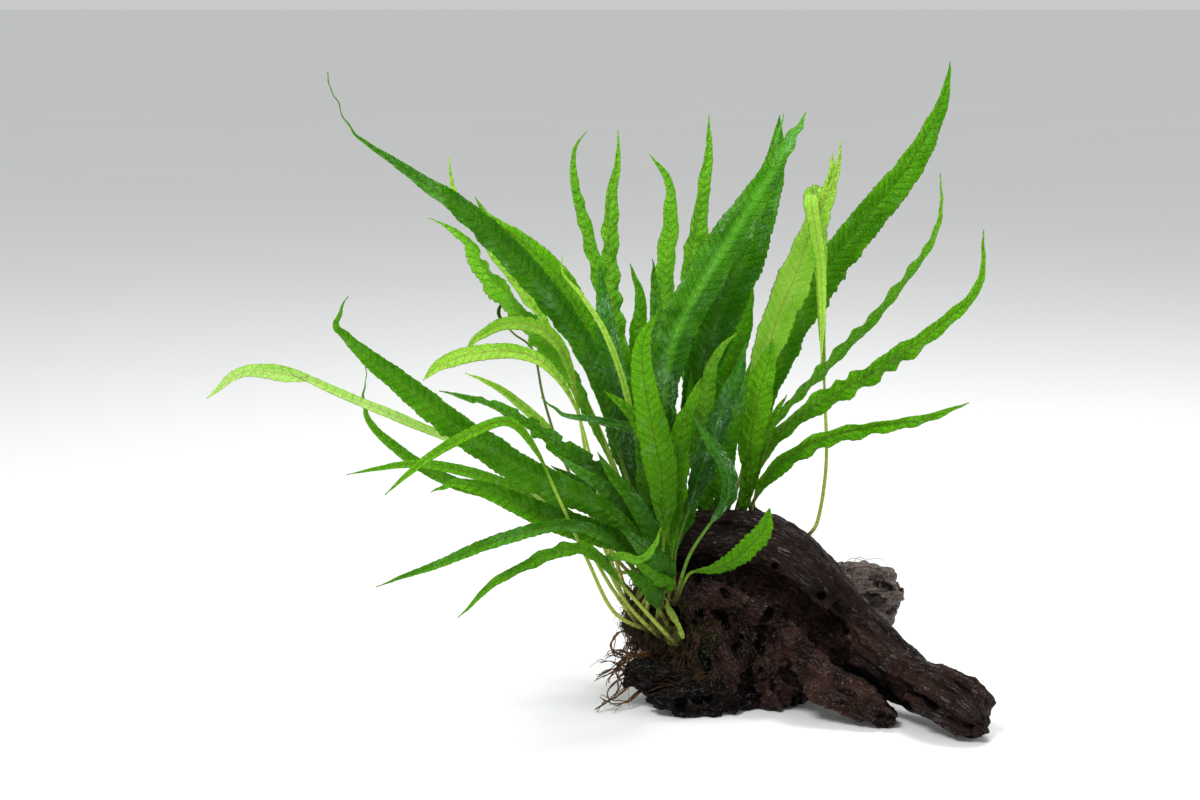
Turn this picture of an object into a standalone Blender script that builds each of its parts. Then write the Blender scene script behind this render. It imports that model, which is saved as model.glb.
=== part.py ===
"""Java fern on driftwood: three creeping rhizomes and their fronds on a forked piece of wood.

Lengths are millimetres until a mesh is made. X runs right, Y away from the front and Z up. The
origin is the middle of the flat foot that the wood stands on.
"""

import math
from dataclasses import dataclass

import bmesh
import bpy
from mathutils import Quaternion, Vector

MM = 0.001
GAP = 0.6  # what a cutter is thicker by, so that neighbours stay clear
SEAT_GAP = 1.5  # from a rhizome's skin to the foot of a stalk
WELD = 0.02  # points closer than this become one
STALK_RADIUS = 1.25
BLADE_THICKNESS = 0.9
FROND_SIDES = 6
WOOD_SIDES = 16
RHIZOME_SIDES = 10
ROUTE_STEPS = 24  # points between two route points when a route is smoothed

FRONT = Vector((0, -1, 0))
UP = Vector((0, 0, 1))

# name: (colour, roughness)
FINISHES = {
    "wood_dark": ((0.030, 0.018, 0.013, 1), 0.75),
    "wood_brown": ((0.055, 0.030, 0.020, 1), 0.8),
    "rhizome_green": ((0.10, 0.16, 0.03, 1), 0.6),
    "root_brown": ((0.035, 0.018, 0.010, 1), 0.9),
    "lime": ((0.33, 0.62, 0.08, 1), 0.4),
    "light": ((0.18, 0.48, 0.06, 1), 0.4),
    "bright": ((0.10, 0.38, 0.02, 1), 0.4),
    "mid": ((0.045, 0.24, 0.015, 1), 0.4),
    "dark": ((0.018, 0.13, 0.012, 1), 0.35),
    "wet": ((0.015, 0.13, 0.04, 1), 0.25),
    "coil": ((0.10, 0.12, 0.02, 1), 0.5),
    "dead": ((0.12, 0.06, 0.02, 1), 0.8),
}


def smooth_route(points, count):
    """Points evenly spaced along a smooth curve through the given ones."""
    knots = [Vector(p) for p in points]
    before = knots[0] * 2 - knots[1]
    after = knots[-1] * 2 - knots[-2]
    knots = [before] + knots + [after]
    fine = []
    for a, b, c, d in zip(knots, knots[1:], knots[2:], knots[3:]):
        for step in range(ROUTE_STEPS):
            t = step / ROUTE_STEPS
            bend = 2 * b + (c - a) * t + (2 * a - 5 * b + 4 * c - d) * t * t
            fine.append((bend + (3 * b - a - 3 * c + d) * t**3) / 2)
    fine.append(knots[-2])
    reach = [0.0]
    for a, b in zip(fine, fine[1:]):
        reach.append(reach[-1] + (b - a).length)
    even = []
    at = 0
    for k in range(count):
        want = reach[-1] * k / (count - 1)
        while at < len(fine) - 2 and reach[at + 1] < want:
            at += 1
        part = (want - reach[at]) / (reach[at + 1] - reach[at])
        even.append(fine[at].lerp(fine[at + 1], part))
    return even


def tangents(line):
    """The direction of a line at each of its points."""
    found = []
    for k in range(len(line)):
        ahead = line[min(k + 1, len(line) - 1)]
        behind = line[max(k - 1, 0)]
        found.append((ahead - behind).normalized())
    return found


def across(direction, reference):
    """The part of a reference direction that is square to a given one."""
    return (reference - direction * reference.dot(direction)).normalized()


def material(finish):
    """The finish as a material, made once."""
    found = bpy.data.materials.get(finish)
    if found:
        return found
    colour, roughness = FINISHES[finish]
    made = bpy.data.materials.new(finish)
    made.use_nodes = True
    shader = made.node_tree.nodes["Principled BSDF"]
    shader.inputs["Base Color"].default_value = colour
    shader.inputs["Roughness"].default_value = roughness
    shader.inputs["Metallic"].default_value = 0
    made.diffuse_color = colour
    return made


def skin(name, rings, finish):
    """A closed body through a row of rings, as a new object."""
    mesh = bpy.data.meshes.new(name)
    bm = bmesh.new()
    rows = [[bm.verts.new(p * MM) for p in ring] for ring in rings]
    for low, high in zip(rows, rows[1:]):
        for k in range(len(low)):
            n = (k + 1) % len(low)
            bm.faces.new((low[k], low[n], high[n], high[k]))
    bm.faces.new(list(reversed(rows[0])))
    bm.faces.new(rows[-1])
    bmesh.ops.recalc_face_normals(bm, faces=bm.faces)
    for face in bm.faces:
        face.smooth = len(face.verts) == 4
    bmesh.ops.triangulate(bm, faces=bm.faces, quad_method="FIXED")
    bm.to_mesh(mesh)
    bm.free()
    mesh.materials.append(material(finish))
    made = bpy.data.objects.new(name, mesh)
    bpy.context.scene.collection.objects.link(made)
    return made


def carve(body, cutters):
    """Take the cutters away from a body and remove them."""
    for cutter in cutters:
        cut = body.modifiers.new(cutter.name, "BOOLEAN")
        cut.operation = "DIFFERENCE"
        cut.solver = "EXACT"
        cut.object = cutter
    ready = body.evaluated_get(bpy.context.evaluated_depsgraph_get())
    old = body.data
    body.data = bpy.data.meshes.new_from_object(ready)
    body.data.name = body.name
    body.modifiers.clear()
    bpy.data.meshes.remove(old)
    bm = bmesh.new()
    bm.from_mesh(body.data)
    bmesh.ops.remove_doubles(bm, verts=bm.verts, dist=WELD * MM)
    bmesh.ops.triangulate(bm, faces=bm.faces)
    bmesh.ops.dissolve_degenerate(bm, edges=bm.edges, dist=WELD * MM)
    bm.to_mesh(body.data)
    bm.free()
    for cutter in cutters:
        used = cutter.data
        bpy.data.objects.remove(cutter)
        bpy.data.meshes.remove(used)


@dataclass(frozen=True)
class Limb:
    """A length of wood through sections of (x, y, z, half across, half up)."""

    name: str
    finish: str
    sections: tuple
    upright: bool = False
    lumps: int = 3
    lump_depth: float = 0.06

    def build(self, grow=0.0):
        """The limb as an object, thicker and longer by the growth given."""
        line = [Vector(s[:3]) for s in self.sections]
        ways = [UP] * len(line) if self.upright else tangents(line)
        reference = FRONT if self.upright else UP
        rings = []
        for k, (centre, way, section) in enumerate(zip(line, ways, self.sections)):
            high = across(way, reference)
            side = way.cross(high)
            end = (k == len(line) - 1) - (k == 0)
            centre = centre + way * end * grow
            ring = []
            for n in range(WOOD_SIDES):
                turn = math.tau * n / WOOD_SIDES
                lump = 1 + self.lump_depth * math.sin(self.lumps * turn + 1.3 * k)
                out = side * (math.cos(turn) * (section[3] * lump + grow))
                ring.append(centre + out + high * (math.sin(turn) * (section[4] * lump + grow)))
            rings.append(ring)
        return skin(self.name, rings, self.finish)


@dataclass(frozen=True)
class Rhizome:
    """A creeping stem, with the stalks of the fronds seated on its skin."""

    name: str
    finish: str
    spine: tuple
    first_radius: float
    last_radius: float
    zero: Vector  # the side that an angle around the stem is counted from

    def radius(self, along):
        """The stem's radius at a share of its length, rounded off at both ends."""
        swell = self.first_radius + (self.last_radius - self.first_radius) * along
        return swell * (1 + 0.08 * math.sin(along * 19))

    def place(self, along):
        """Centre and direction at a share of the stem's length."""
        line = smooth_route(self.spine, 41)
        k = round(along * 40)
        return line[k], tangents(line)[k]

    def seat(self, along, around):
        """The foot of a stalk, just off the stem's skin."""
        centre, way = self.place(along)
        high = across(way, self.zero)
        high.rotate(Quaternion(way, -math.radians(around)))
        return centre + high * (self.radius(along) + SEAT_GAP)

    def build(self, grow=0.0):
        """The stem as an object, thicker by the growth given."""
        count = 12
        line = smooth_route(self.spine, count)
        rings = []
        for k, (centre, way) in enumerate(zip(line, tangents(line))):
            along = k / (count - 1)
            blunt = 0.55 if k in (0, count - 1) else 1
            radius = self.radius(along) * blunt + grow
            high = across(way, self.zero)
            side = way.cross(high)
            ring = []
            for n in range(RHIZOME_SIDES):
                turn = math.tau * n / RHIZOME_SIDES
                ring.append(centre + (side * math.cos(turn) + high * math.sin(turn)) * radius)
            rings.append(ring)
        return skin(self.name, rings, self.finish)


@dataclass(frozen=True)
class Frond:
    """A stalk and its blade, grown as one piece along a route from its seat to its tip."""

    name: str
    finish: str
    width: float
    blade_from: float  # share of the length where the blade begins
    seat: tuple  # share along the rhizome, degrees around it
    route: tuple
    turn: float = 0.0  # degrees the blade is rolled away from the front
    twist: float = 0.0  # further degrees by the tip
    rings: int = 0  # sections along the route, or 0 to go by its points

    def half_width(self, share):
        """Half the width at a share of the length."""
        stalk = STALK_RADIUS * (1 - 0.55 * share)
        if share <= self.blade_from:
            return stalk
        blade = (share - self.blade_from) / (1 - self.blade_from)
        leaf = self.width / 2 * math.sin(math.pi * blade**0.8) ** 1.1
        return max(leaf, stalk * (1 - blade), 0.3)

    def half_thickness(self, share):
        """Half the thickness at a share of the length."""
        stalk = STALK_RADIUS * (1 - 0.4 * share)
        thin = min(max((share - self.blade_from) * 6, 0), 1)
        blade = BLADE_THICKNESS / 2 * (1.15 - 0.5 * share)
        return stalk + (blade - stalk) * thin

    def build(self, rhizome):
        """The frond as an object, seated on its rhizome."""
        points = (rhizome.seat(*self.seat), *self.route)
        line = smooth_route(points, self.rings or len(points) * 3 // 2 + 1)
        rings = []
        for k, (centre, way) in enumerate(zip(line, tangents(line))):
            share = k / (len(line) - 1)
            face = across(way, FRONT)
            roll = math.radians(self.turn + self.twist * share)
            face.rotate(Quaternion(way, roll))
            side = way.cross(face)
            wide = side * self.half_width(share)
            thick = face * self.half_thickness(share)
            ring = []
            for n in range(FROND_SIDES):
                turn = math.tau * n / FROND_SIDES
                ring.append(centre + wide * math.cos(turn) + thick * math.sin(turn))
            rings.append(ring)
        return skin(self.name, rings, self.finish)


TRUNK = Limb(
    "driftwood_lower_trunk",
    "wood_brown",
    (
        (0, 0, 0, 23, 28),
        (0, -1, 3, 25, 31),
        (0, -2, 10, 23, 31),
        (-1, -2, 20, 23, 30),
        (-4, -2, 30, 26, 28),
        (-9, -1, 40, 28, 25),
        (-13, 0, 50, 26, 22),
        (-14, 1, 57, 22, 18),
    ),
    upright=True,
    lumps=5,
    lump_depth=0.05,
)
HUMP = Limb(
    "driftwood_hump",
    "wood_dark",
    (
        (-42, 1, 67, 8, 7),
        (-39, 1, 67, 17, 12),
        (-32, 1, 67, 21, 15),
        (-18, 2, 66, 23, 17),
        (-3, 2, 64, 24, 18),
        (10, 1, 58, 23, 18),
        (21, -3, 49, 21, 17),
        (31, -9, 40, 17, 15),
        (38, -14, 34, 12, 11),
    ),
    lump_depth=0.03,
)
ARM = Limb(
    "driftwood_long_arm",
    "wood_dark",
    (
        (28, -8, 41, 11, 10),
        (39, -17, 33, 13, 12),
        (50, -28, 25, 12, 11),
        (59, -38, 19, 11, 10),
        (70, -52, 16, 11, 11),
        (79, -62, 15, 12, 12),
        (86, -70, 11, 11, 11),
        (90, -74, 8, 7, 6),
    ),
)
FORK = Limb(
    "driftwood_short_fork",
    "wood_brown",
    (
        (8, -27, 22, 9, 9),
        (18, -37, 20, 9, 10),
        (28, -44, 15, 9, 9),
        (38, -49, 12, 8, 8),
        (46, -53, 9, 7, 7),
        (53, -56, 5, 5, 5),
    ),
)
STUB = Limb(
    "driftwood_back_stub",
    "wood_brown",
    (
        (20, 10, 44, 9, 9),
        (36, 24, 39, 10, 13),
        (48, 35, 35, 11, 15),
        (60, 44, 32, 10, 14),
        (66, 48, 31, 6, 9),
    ),
    lumps=5,
)
LEFT_LOBE = Limb(
    "driftwood_left_lobe",
    "wood_dark",
    (
        (-18, -18, 17, 8, 8),
        (-30, -23, 16, 9, 9),
        (-42, -26, 15, 8, 8),
        (-51, -27, 15, 7, 7),
        (-57, -27, 15, 4, 4),
    ),
)
FOOT_LOBE = Limb(
    "driftwood_foot_lobe",
    "wood_dark",
    (
        (-10, -26, 8, 8, 7),
        (-24, -35, 8, 8, 7),
        (-36, -38, 7, 7, 6),
        (-44, -38, 7, 5, 4),
        (-48, -37, 7, 2, 2),
    ),
)
ROOT_MAT = Limb(
    "root_mat",
    "root_brown",
    (
        (-37, -20, 25, 5, 5),
        (-43, -14, 26, 7, 7),
        (-50, -4, 27, 8, 9),
        (-51, 6, 31, 8, 9),
        (-47, 15, 37, 6, 7),
        (-45, 20, 42, 3, 3),
    ),
    lumps=4,
    lump_depth=0.12,
)

FRONT_RHIZOME = Rhizome(
    "rhizome_front",
    "rhizome_green",
    ((-35, -29, 31), (-44, -25, 35), (-52, -14, 37), (-53, 1, 42), (-49, 14, 48), (-45, 25, 56)),
    3.8,
    3.4,
    UP,
)
OFFSHOOT = Rhizome(
    "rhizome_offshoot",
    "rhizome_green",
    ((-35, -36, 34), (-38, -39, 42), (-43, -42, 52), (-43, -44, 63)),
    1.7,
    3.2,
    FRONT,
)
BACK_RHIZOME = Rhizome(
    "rhizome_back",
    "rhizome_green",
    ((-33, 26, 73), (-20, 30, 73), (-8, 32, 73), (2, 33, 71), (12, 32, 68), (24, 27, 61)),
    3.6,
    3.2,
    UP,
)

FRONT_FRONDS = (
    Frond("frond_low_left_short", "mid", 7, 0.40, (0.04, 95),
          ((-61, -48, 60), (-74, -58, 78), (-85, -64, 82), (-102, -70, 77), (-118, -76, 69),
           (-132, -82, 56)), -10),
    Frond("frond_low_left_ruffled", "mid", 9, 0.34, (0.09, 50),
          ((-55, -44, 64), (-69, -54, 84), (-89, -60, 91), (-115, -66, 86), (-140, -71, 77),
           (-167, -76, 68)), 10),
    Frond("frond_crescent", "light", 5, 0.50, (0.13, 100),
          ((-60, -40, 51), (-69, -49, 71), (-65, -58, 77), (-54, -66, 78), (-49, -68, 84),
           (-46, -70, 92)), 15),
    Frond("frond_left_broad", "mid", 18, 0.24, (0.17, 45),
          ((-45, -36, 59), (-52, -42, 78), (-72, -48, 96), (-98, -53, 110), (-128, -58, 130),
           (-153, -62, 151), (-172, -65, 167), (-182, -67, 179), (-178, -68, 191)), -8, 10),
    Frond("frond_bent", "bright", 5, 0.52, (0.21, 95),
          ((-67, -36, 46), (-79, -43, 74), (-91, -48, 104), (-100, -51, 125), (-111, -53, 138),
           (-125, -54, 135), (-145, -57, 124), (-164, -60, 108)), 30),
    Frond("frond_left_hooked", "dark", 13, 0.30, (0.25, 55),
          ((-50, -28, 63), (-59, -33, 76), (-76, -37, 83), (-98, -41, 92), (-118, -45, 102),
           (-135, -48, 107), (-145, -50, 103)), 5, 10),
    Frond("frond_far_left_pale", "lime", 6, 0.42, (0.29, 95),
          ((-67, -26, 55), (-80, -29, 77), (-103, -31, 100), (-129, -33, 119), (-159, -34, 133),
           (-185, -34, 144), (-210, -34, 155), (-226, -35, 154), (-243, -36, 142)), 50, 30),
    Frond("frond_glossy_middle", "wet", 9, 0.34, (0.33, 40),
          ((-46, -24, 67), (-56, -30, 88), (-70, -36, 102), (-82, -40, 111), (-92, -43, 119)), 5),
    Frond("frond_dark_thread", "wet", 4, 0.40, (0.36, 0),
          ((-43, -10, 74), (-43, -16, 102), (-52, -24, 123), (-72, -30, 131), (-89, -33, 135),
           (-97, -35, 143)), 20),
    Frond("frond_nibbled", "dark", 10, 0.30, (0.40, 50),
          ((-47, -16, 65), (-53, -21, 88), (-72, -26, 107), (-89, -29, 119), (-103, -32, 130),
           (-122, -35, 140), (-142, -37, 145)), 0, 10),
    Frond("frond_arch_lower", "lime", 8, 0.52, (0.42, 95),
          ((-67, -12, 64), (-75, -10, 105), (-84, -6, 135), (-97, -2, 152), (-113, 2, 157),
           (-131, 4, 155), (-144, 6, 150), (-152, 6, 143)), 30),
    Frond("frond_thin_strip", "lime", 3, 0.40, (0.46, 5),
          ((-49, -12, 73), (-54, -18, 110), (-61, -24, 145), (-70, -27, 170), (-80, -28, 186),
           (-88, -28, 196), (-88, -28, 204))),
    Frond("frond_left_long", "dark", 17, 0.30, (0.50, 50),
          ((-48, -6, 63), (-61, -12, 105), (-76, -18, 155), (-98, -24, 189), (-128, -30, 221),
           (-158, -34, 243), (-178, -38, 259), (-188, -40, 283)), 12, 10),
    Frond("frond_arch_upper", "lime", 7, 0.55, (0.53, 95),
          ((-64, -2, 59), (-75, 2, 89), (-81, 8, 124), (-87, 12, 151), (-97, 16, 164),
           (-114, 20, 167), (-128, 22, 160), (-134, 24, 152)), 35),
    Frond("frond_upright_wet", "wet", 11, 0.28, (0.55, 5),
          ((-46, 2, 63), (-54, 2, 93), (-62, 2, 123), (-67, 2, 151), (-70, 2, 176),
           (-72, 3, 197)), -15),
    Frond("frond_left_serrated", "bright", 9, 0.42, (0.60, 50),
          ((-50, 5, 63), (-67, 14, 103), (-86, 22, 144), (-108, 30, 170), (-127, 36, 192),
           (-134, 38, 204), (-151, 42, 213)), -20, -10),
    Frond("frond_narrow_lime", "lime", 4, 0.50, (0.65, 95),
          ((-68, 10, 59), (-81, 18, 97), (-96, 22, 117), (-109, 24, 129), (-120, 25, 137),
           (-134, 26, 143)), 10),
    Frond("frond_left_slender", "mid", 7, 0.36, (0.68, 50),
          ((-59, 4, 60), (-83, 12, 79), (-111, 18, 91), (-136, 23, 98), (-160, 28, 100),
           (-190, 32, 94)), 10),
    Frond("frond_upright_dark", "dark", 10, 0.30, (0.67, -8),
          ((-42, 17, 69), (-43, 21, 104), (-43, 22, 137), (-46, 23, 166), (-48, 24, 196)), 20),
    Frond("frond_left_wavy", "bright", 8, 0.42, (0.75, 15),
          ((-48, 12, 63), (-61, 20, 108), (-76, 28, 158), (-90, 34, 185), (-109, 40, 203),
           (-122, 42, 212), (-130, 44, 222)), 0, 15),
    Frond("fiddlehead", "coil", 2, 0.90, (0.78, 90),
          ((-69, 22, 63), (-88, 32, 99), (-98, 38, 128), (-103, 40, 151), (-112, 41, 159),
           (-118, 42, 166), (-119, 42, 170), (-117, 42, 173), (-114, 42, 171)),
          rings=22),
    Frond("frond_upright_curled", "light", 9, 0.40, (0.82, 0),
          ((-45, 19, 66), (-56, 23, 112), (-65, 29, 157), (-68, 36, 194), (-67, 38, 222),
           (-64, 39, 240), (-64, 40, 253)), 20, 10),
    Frond("frond_left_young", "lime", 6, 0.50, (0.87, 50),
          ((-53, 24, 65), (-72, 34, 115), (-93, 46, 155), (-117, 56, 189), (-133, 62, 210),
           (-141, 64, 224), (-143, 66, 240)), 25, 20),
    Frond("frond_upright_pointed", "mid", 10, 0.36, (0.91, 0),
          ((-45, 27, 66), (-48, 35, 101), (-53, 41, 133), (-54, 45, 160), (-53, 47, 175),
           (-58, 49, 191)), -20),
    Frond("frond_wiry_tip", "mid", 6, 0.45, (0.92, 90),
          ((-65, 26, 50), (-91, 36, 72), (-119, 42, 81), (-147, 46, 90), (-169, 49, 104),
           (-182, 50, 119), (-182, 51, 142)), 0, 20),
    Frond("frond_upright_curved", "light", 6, 0.40, (0.97, 35),
          ((-50, 33, 64), (-58, 45, 113), (-68, 54, 164), (-78, 62, 203), (-84, 66, 226),
           (-84, 68, 242), (-78, 70, 251)), 25),
    Frond("frond_upright_light", "light", 11, 0.45, (0.99, -25),
          ((-39, 38, 67), (-42, 52, 112), (-42, 64, 157), (-40, 68, 191), (-38, 70, 214),
           (-40, 72, 229), (-49, 74, 240)), -25),
)
OFFSHOOT_FRONDS = (
    Frond("frond_small_dark", "dark", 6, 0.25, (0.45, 75),
          ((-50, -50, 60), (-55, -53, 65), (-61, -55, 70))),
    Frond("frond_over_wood", "mid", 9, 0.30, (0.62, -95),
          ((-33, -46, 66), (-23, -50, 69), (-14, -53, 74), (-6, -55, 82), (-1, -56, 89),
           (1, -57, 98)), -15),
    Frond("frond_hooked", "wet", 6, 0.40, (0.75, -60),
          ((-33, -48, 75), (-23, -52, 92), (-17, -55, 103), (-18, -57, 115), (-25, -59, 127),
           (-32, -61, 138)), 20),
    Frond("frond_small_left", "bright", 6, 0.50, (0.80, 90),
          ((-45, -40, 89), (-48, -42, 115), (-55, -45, 132), (-63, -48, 142), (-70, -51, 148)), 20),
    Frond("frond_right_dark", "wet", 9, 0.38, (0.85, -120),
          ((-39, -40, 75), (-33, -38, 94), (-26, -34, 115), (-19, -30, 135), (-12, -27, 151),
           (-8, -25, 165)), 15),
    Frond("frond_front_right", "bright", 10, 0.34, (0.92, -30),
          ((-41, -44, 85), (-40, -47, 108), (-37, -50, 131), (-33, -52, 143), (-29, -54, 154)), 18),
    Frond("frond_front_bright", "bright", 12, 0.34, (0.95, 30),
          ((-44, -46, 88), (-45, -50, 109), (-49, -54, 131), (-53, -57, 152), (-54, -59, 169),
           (-48, -62, 184)), -12),
)
BACK_FRONDS = (
    Frond("frond_broad_glossy", "wet", 18, 0.28, (0.00, -30),
          ((-41, 12, 96), (-44, 0, 128), (-40, -8, 161), (-29, -12, 186), (-13, -16, 213),
           (0, -18, 235), (10, -20, 252), (17, -22, 265)), -5),
    Frond("frond_broad_dark", "dark", 19, 0.28, (0.06, -15),
          ((-35, 20, 103), (-29, 14, 135), (-20, 10, 168), (-9, 8, 196), (0, 8, 222),
           (6, 8, 242), (8, 8, 262)), 5),
    Frond("frond_back_upright", "light", 10, 0.34, (0.10, 45),
          ((-27, 50, 102), (-31, 62, 143), (-29, 70, 183), (-24, 76, 218), (-21, 79, 241),
           (-20, 81, 258)), 30),
    Frond("frond_right_narrow", "light", 5, 0.45, (0.13, -30),
          ((-27, 20, 99), (-25, 6, 129), (-22, 0, 150), (-17, -3, 160), (-11, -5, 166)), 15),
    Frond("frond_back_small", "mid", 3, 0.30, (0.20, -38),
          ((-22, 24, 80), (-24, 22, 85), (-27, 21, 90))),
    Frond("frond_right_tall", "bright", 10, 0.38, (0.20, 15),
          ((-22, 30, 94), (-18, 30, 123), (-11, 30, 148), (-5, 30, 167), (-2, 31, 188)), -25),
    Frond("stem_dead_brown", "dead", 1.6, 0.90, (0.27, -30),
          ((-19, 29, 79), (-17, 29, 87), (-16, 29, 95))),
    Frond("frond_pale_broad", "lime", 16, 0.34, (0.35, -10),
          ((-6, 28, 97), (-1, 26, 135), (8, 24, 166), (18, 23, 192), (26, 22, 216),
           (32, 22, 231), (33, 23, 244)), 20),
    Frond("frond_rounded", "bright", 13, 0.28, (0.43, -35),
          ((-3, 18, 90), (-3, 14, 112), (0, 12, 133), (4, 12, 149), (6, 13, 161)), -20),
    Frond("frond_right_long", "mid", 18, 0.26, (0.45, 70),
          ((2, 58, 101), (10, 68, 135), (26, 74, 171), (48, 78, 201), (72, 80, 230),
           (88, 82, 258), (94, 84, 283)), 15),
    Frond("frond_right_low", "bright", 10, 0.26, (0.51, -38),
          ((-1, 18, 85), (7, 12, 101), (26, 8, 115), (49, 5, 122), (73, 2, 126),
           (94, 0, 134)), 20),
    Frond("frond_right_grey", "mid", 8, 0.26, (0.42, 30),
          ((-2, 38, 95), (10, 42, 118), (31, 44, 141), (53, 46, 164), (73, 48, 188),
           (85, 50, 209), (86, 50, 233)), 40),
    Frond("frond_right_arched", "bright", 10, 0.26, (0.51, 5),
          ((-2, 26, 88), (9, 26, 113), (29, 27, 129), (53, 28, 143), (80, 28, 162),
           (101, 28, 183), (103, 28, 209)), 25),
    Frond("stem_dead_black", "dead", 1.6, 0.90, (0.60, 20),
          ((0, 37, 78), (2, 39, 86), (4, 40, 92))),
    Frond("frond_folded_top", "lime", 6, 0.40, (0.96, 45),
          ((31, 44, 70), (35, 50, 96), (34, 54, 130), (32, 56, 168), (31, 54, 201),
           (29, 50, 220), (28, 46, 227)), 10),
)


def clear_scene():
    """Remove every object of the open scene."""
    for old in list(bpy.data.objects):
        bpy.data.objects.remove(old)


def build_wood():
    """The driftwood, each limb carved clear of the ones that it grows from."""
    HUMP.build()
    carve(TRUNK.build(), [HUMP.build(GAP)])
    carve(ARM.build(), [HUMP.build(GAP), TRUNK.build(GAP)])
    carve(FORK.build(), [TRUNK.build(GAP)])
    carve(STUB.build(), [HUMP.build(GAP), TRUNK.build(GAP)])
    carve(LEFT_LOBE.build(), [TRUNK.build(GAP)])
    carve(FOOT_LOBE.build(), [TRUNK.build(GAP), LEFT_LOBE.build(GAP)])


def build_rhizomes():
    """The three creeping stems and the mat of roots under the front one."""
    carve(FRONT_RHIZOME.build(), [HUMP.build(GAP), TRUNK.build(GAP)])
    OFFSHOOT.build()
    carve(BACK_RHIZOME.build(), [HUMP.build(GAP)])
    wood = [limb.build(GAP) for limb in (HUMP, TRUNK, LEFT_LOBE)]
    carve(ROOT_MAT.build(), wood + [FRONT_RHIZOME.build(GAP)])


def build_fronds():
    """Every frond on its own rhizome."""
    for frond in FRONT_FRONDS:
        frond.build(FRONT_RHIZOME)
    for frond in OFFSHOOT_FRONDS:
        frond.build(OFFSHOOT)
    for frond in BACK_FRONDS:
        frond.build(BACK_RHIZOME)


clear_scene()
build_wood()
build_rhizomes()
build_fronds()
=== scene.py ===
"""Java fern on driftwood: the looks of the plant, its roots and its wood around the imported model.

Routes and sections are drawn in millimetres and become metres when a mesh is made. X runs right,
Y away from the front and Z up, from the middle of the flat foot that the wood stands on.
"""

import logging
import math
from dataclasses import dataclass
from enum import Enum
from functools import partialmethod

import bmesh
import bpy
import numpy as np
import openvdb
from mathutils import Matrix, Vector


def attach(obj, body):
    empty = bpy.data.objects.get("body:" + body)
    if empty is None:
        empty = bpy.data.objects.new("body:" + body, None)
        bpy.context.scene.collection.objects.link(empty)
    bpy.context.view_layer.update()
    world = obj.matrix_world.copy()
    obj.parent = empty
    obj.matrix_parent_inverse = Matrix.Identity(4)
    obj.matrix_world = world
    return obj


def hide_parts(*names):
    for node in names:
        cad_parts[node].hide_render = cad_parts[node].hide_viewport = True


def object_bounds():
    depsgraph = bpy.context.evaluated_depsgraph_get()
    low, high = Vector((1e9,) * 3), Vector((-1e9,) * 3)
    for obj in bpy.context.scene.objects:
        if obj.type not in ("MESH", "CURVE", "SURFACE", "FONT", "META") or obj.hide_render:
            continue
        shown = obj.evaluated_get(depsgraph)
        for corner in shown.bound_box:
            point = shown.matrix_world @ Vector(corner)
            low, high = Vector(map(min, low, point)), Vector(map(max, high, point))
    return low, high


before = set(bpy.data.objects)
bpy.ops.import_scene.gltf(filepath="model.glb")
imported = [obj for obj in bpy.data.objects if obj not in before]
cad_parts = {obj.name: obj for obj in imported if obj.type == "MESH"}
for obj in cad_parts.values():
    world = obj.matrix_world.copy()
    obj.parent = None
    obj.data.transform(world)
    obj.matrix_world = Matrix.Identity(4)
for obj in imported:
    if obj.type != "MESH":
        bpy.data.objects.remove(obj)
CAD_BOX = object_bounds()

LOG = logging.getLogger("java_fern")
BODY = "root"
MM = 0.001
SEAT_GAP = 1.5  # from a rhizome's skin to the foot of a stalk
ROUTE_STEPS = 24  # points between two route points when a route is smoothed
STEM_RINGS = 90  # rings along a creeping stem
STEM_SIDES = 28  # points around each of them
STALK_STEP = 2.0  # between the rings of a stalk
BLADE_STEP = 0.95  # between the rings of a blade, and about as much across it
THINNEST = 0.28  # half the width of a blade at its narrowest
PUCKER = 0.0010  # height of the puckers of a broad blade, in m
VEIN_LIFT = 0.00026  # height of its side veins, in m
VEIN_PITCH = 0.0042  # between two side veins, in m
VEIN_SLANT = 0.75  # how far a side vein runs forward for each step outward
VEIN_WANDER = 120.0  # scale of the noise that bends the side veins
HEART = (-0.045, -0.010, 0.075)  # middle of the shade among the stalks, in m
HEART_SHADE = (0.015, 0.105)  # how far from there it starts to fade and how far it ends, in m
FAR = 9.0  # distances from a piece of wood are worked out only this near
LIMB_FILLET = 2.2  # where two limbs of wood meet
CUT_FILLET = 1.2  # along the rim of a groove or a hole
GRAIN_STRETCH = 0.14  # share of its true length that the grain's pattern has along the wood
HOLLOW_REACHES = ((3.0, 0.40), (6.0, 0.45), (8.5, 0.45))  # how far out wood is felt for, and its weight
UP = np.array((0.0, 0.0, 1.0))
FRONT = np.array((0.0, -1.0, 0.0))

Colour = tuple[float, float, float]
Socket = bpy.types.NodeSocket


# ---------------------------------------------------------------- curves, noise and meshes


def unit(vectors: np.ndarray) -> np.ndarray:
    """The same directions at length one."""
    return vectors / np.maximum(np.linalg.norm(vectors, axis=-1, keepdims=True), 1e-9)


def across(ways: np.ndarray, reference: np.ndarray) -> np.ndarray:
    """The part of a reference direction that is square to each given one."""
    return unit(reference - ways * (ways @ reference)[..., None])


def turned(vectors: np.ndarray, ways: np.ndarray, angles: np.ndarray) -> np.ndarray:
    """Turn vectors about directions square to them.

    Args:
        vectors: What turns, one row each.
        ways: The axis of each turn.
        angles: Each turn in radians.

    Returns:
        The turned vectors.
    """
    return vectors * np.cos(angles)[:, None] + np.cross(ways, vectors) * np.sin(angles)[:, None]


def ease(values: np.ndarray, low: float, high: float) -> np.ndarray:
    """Zero below low, one above high, and smooth between."""
    share = np.clip((values - low) / (high - low), 0, 1)
    return share * share * (3 - 2 * share)


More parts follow.
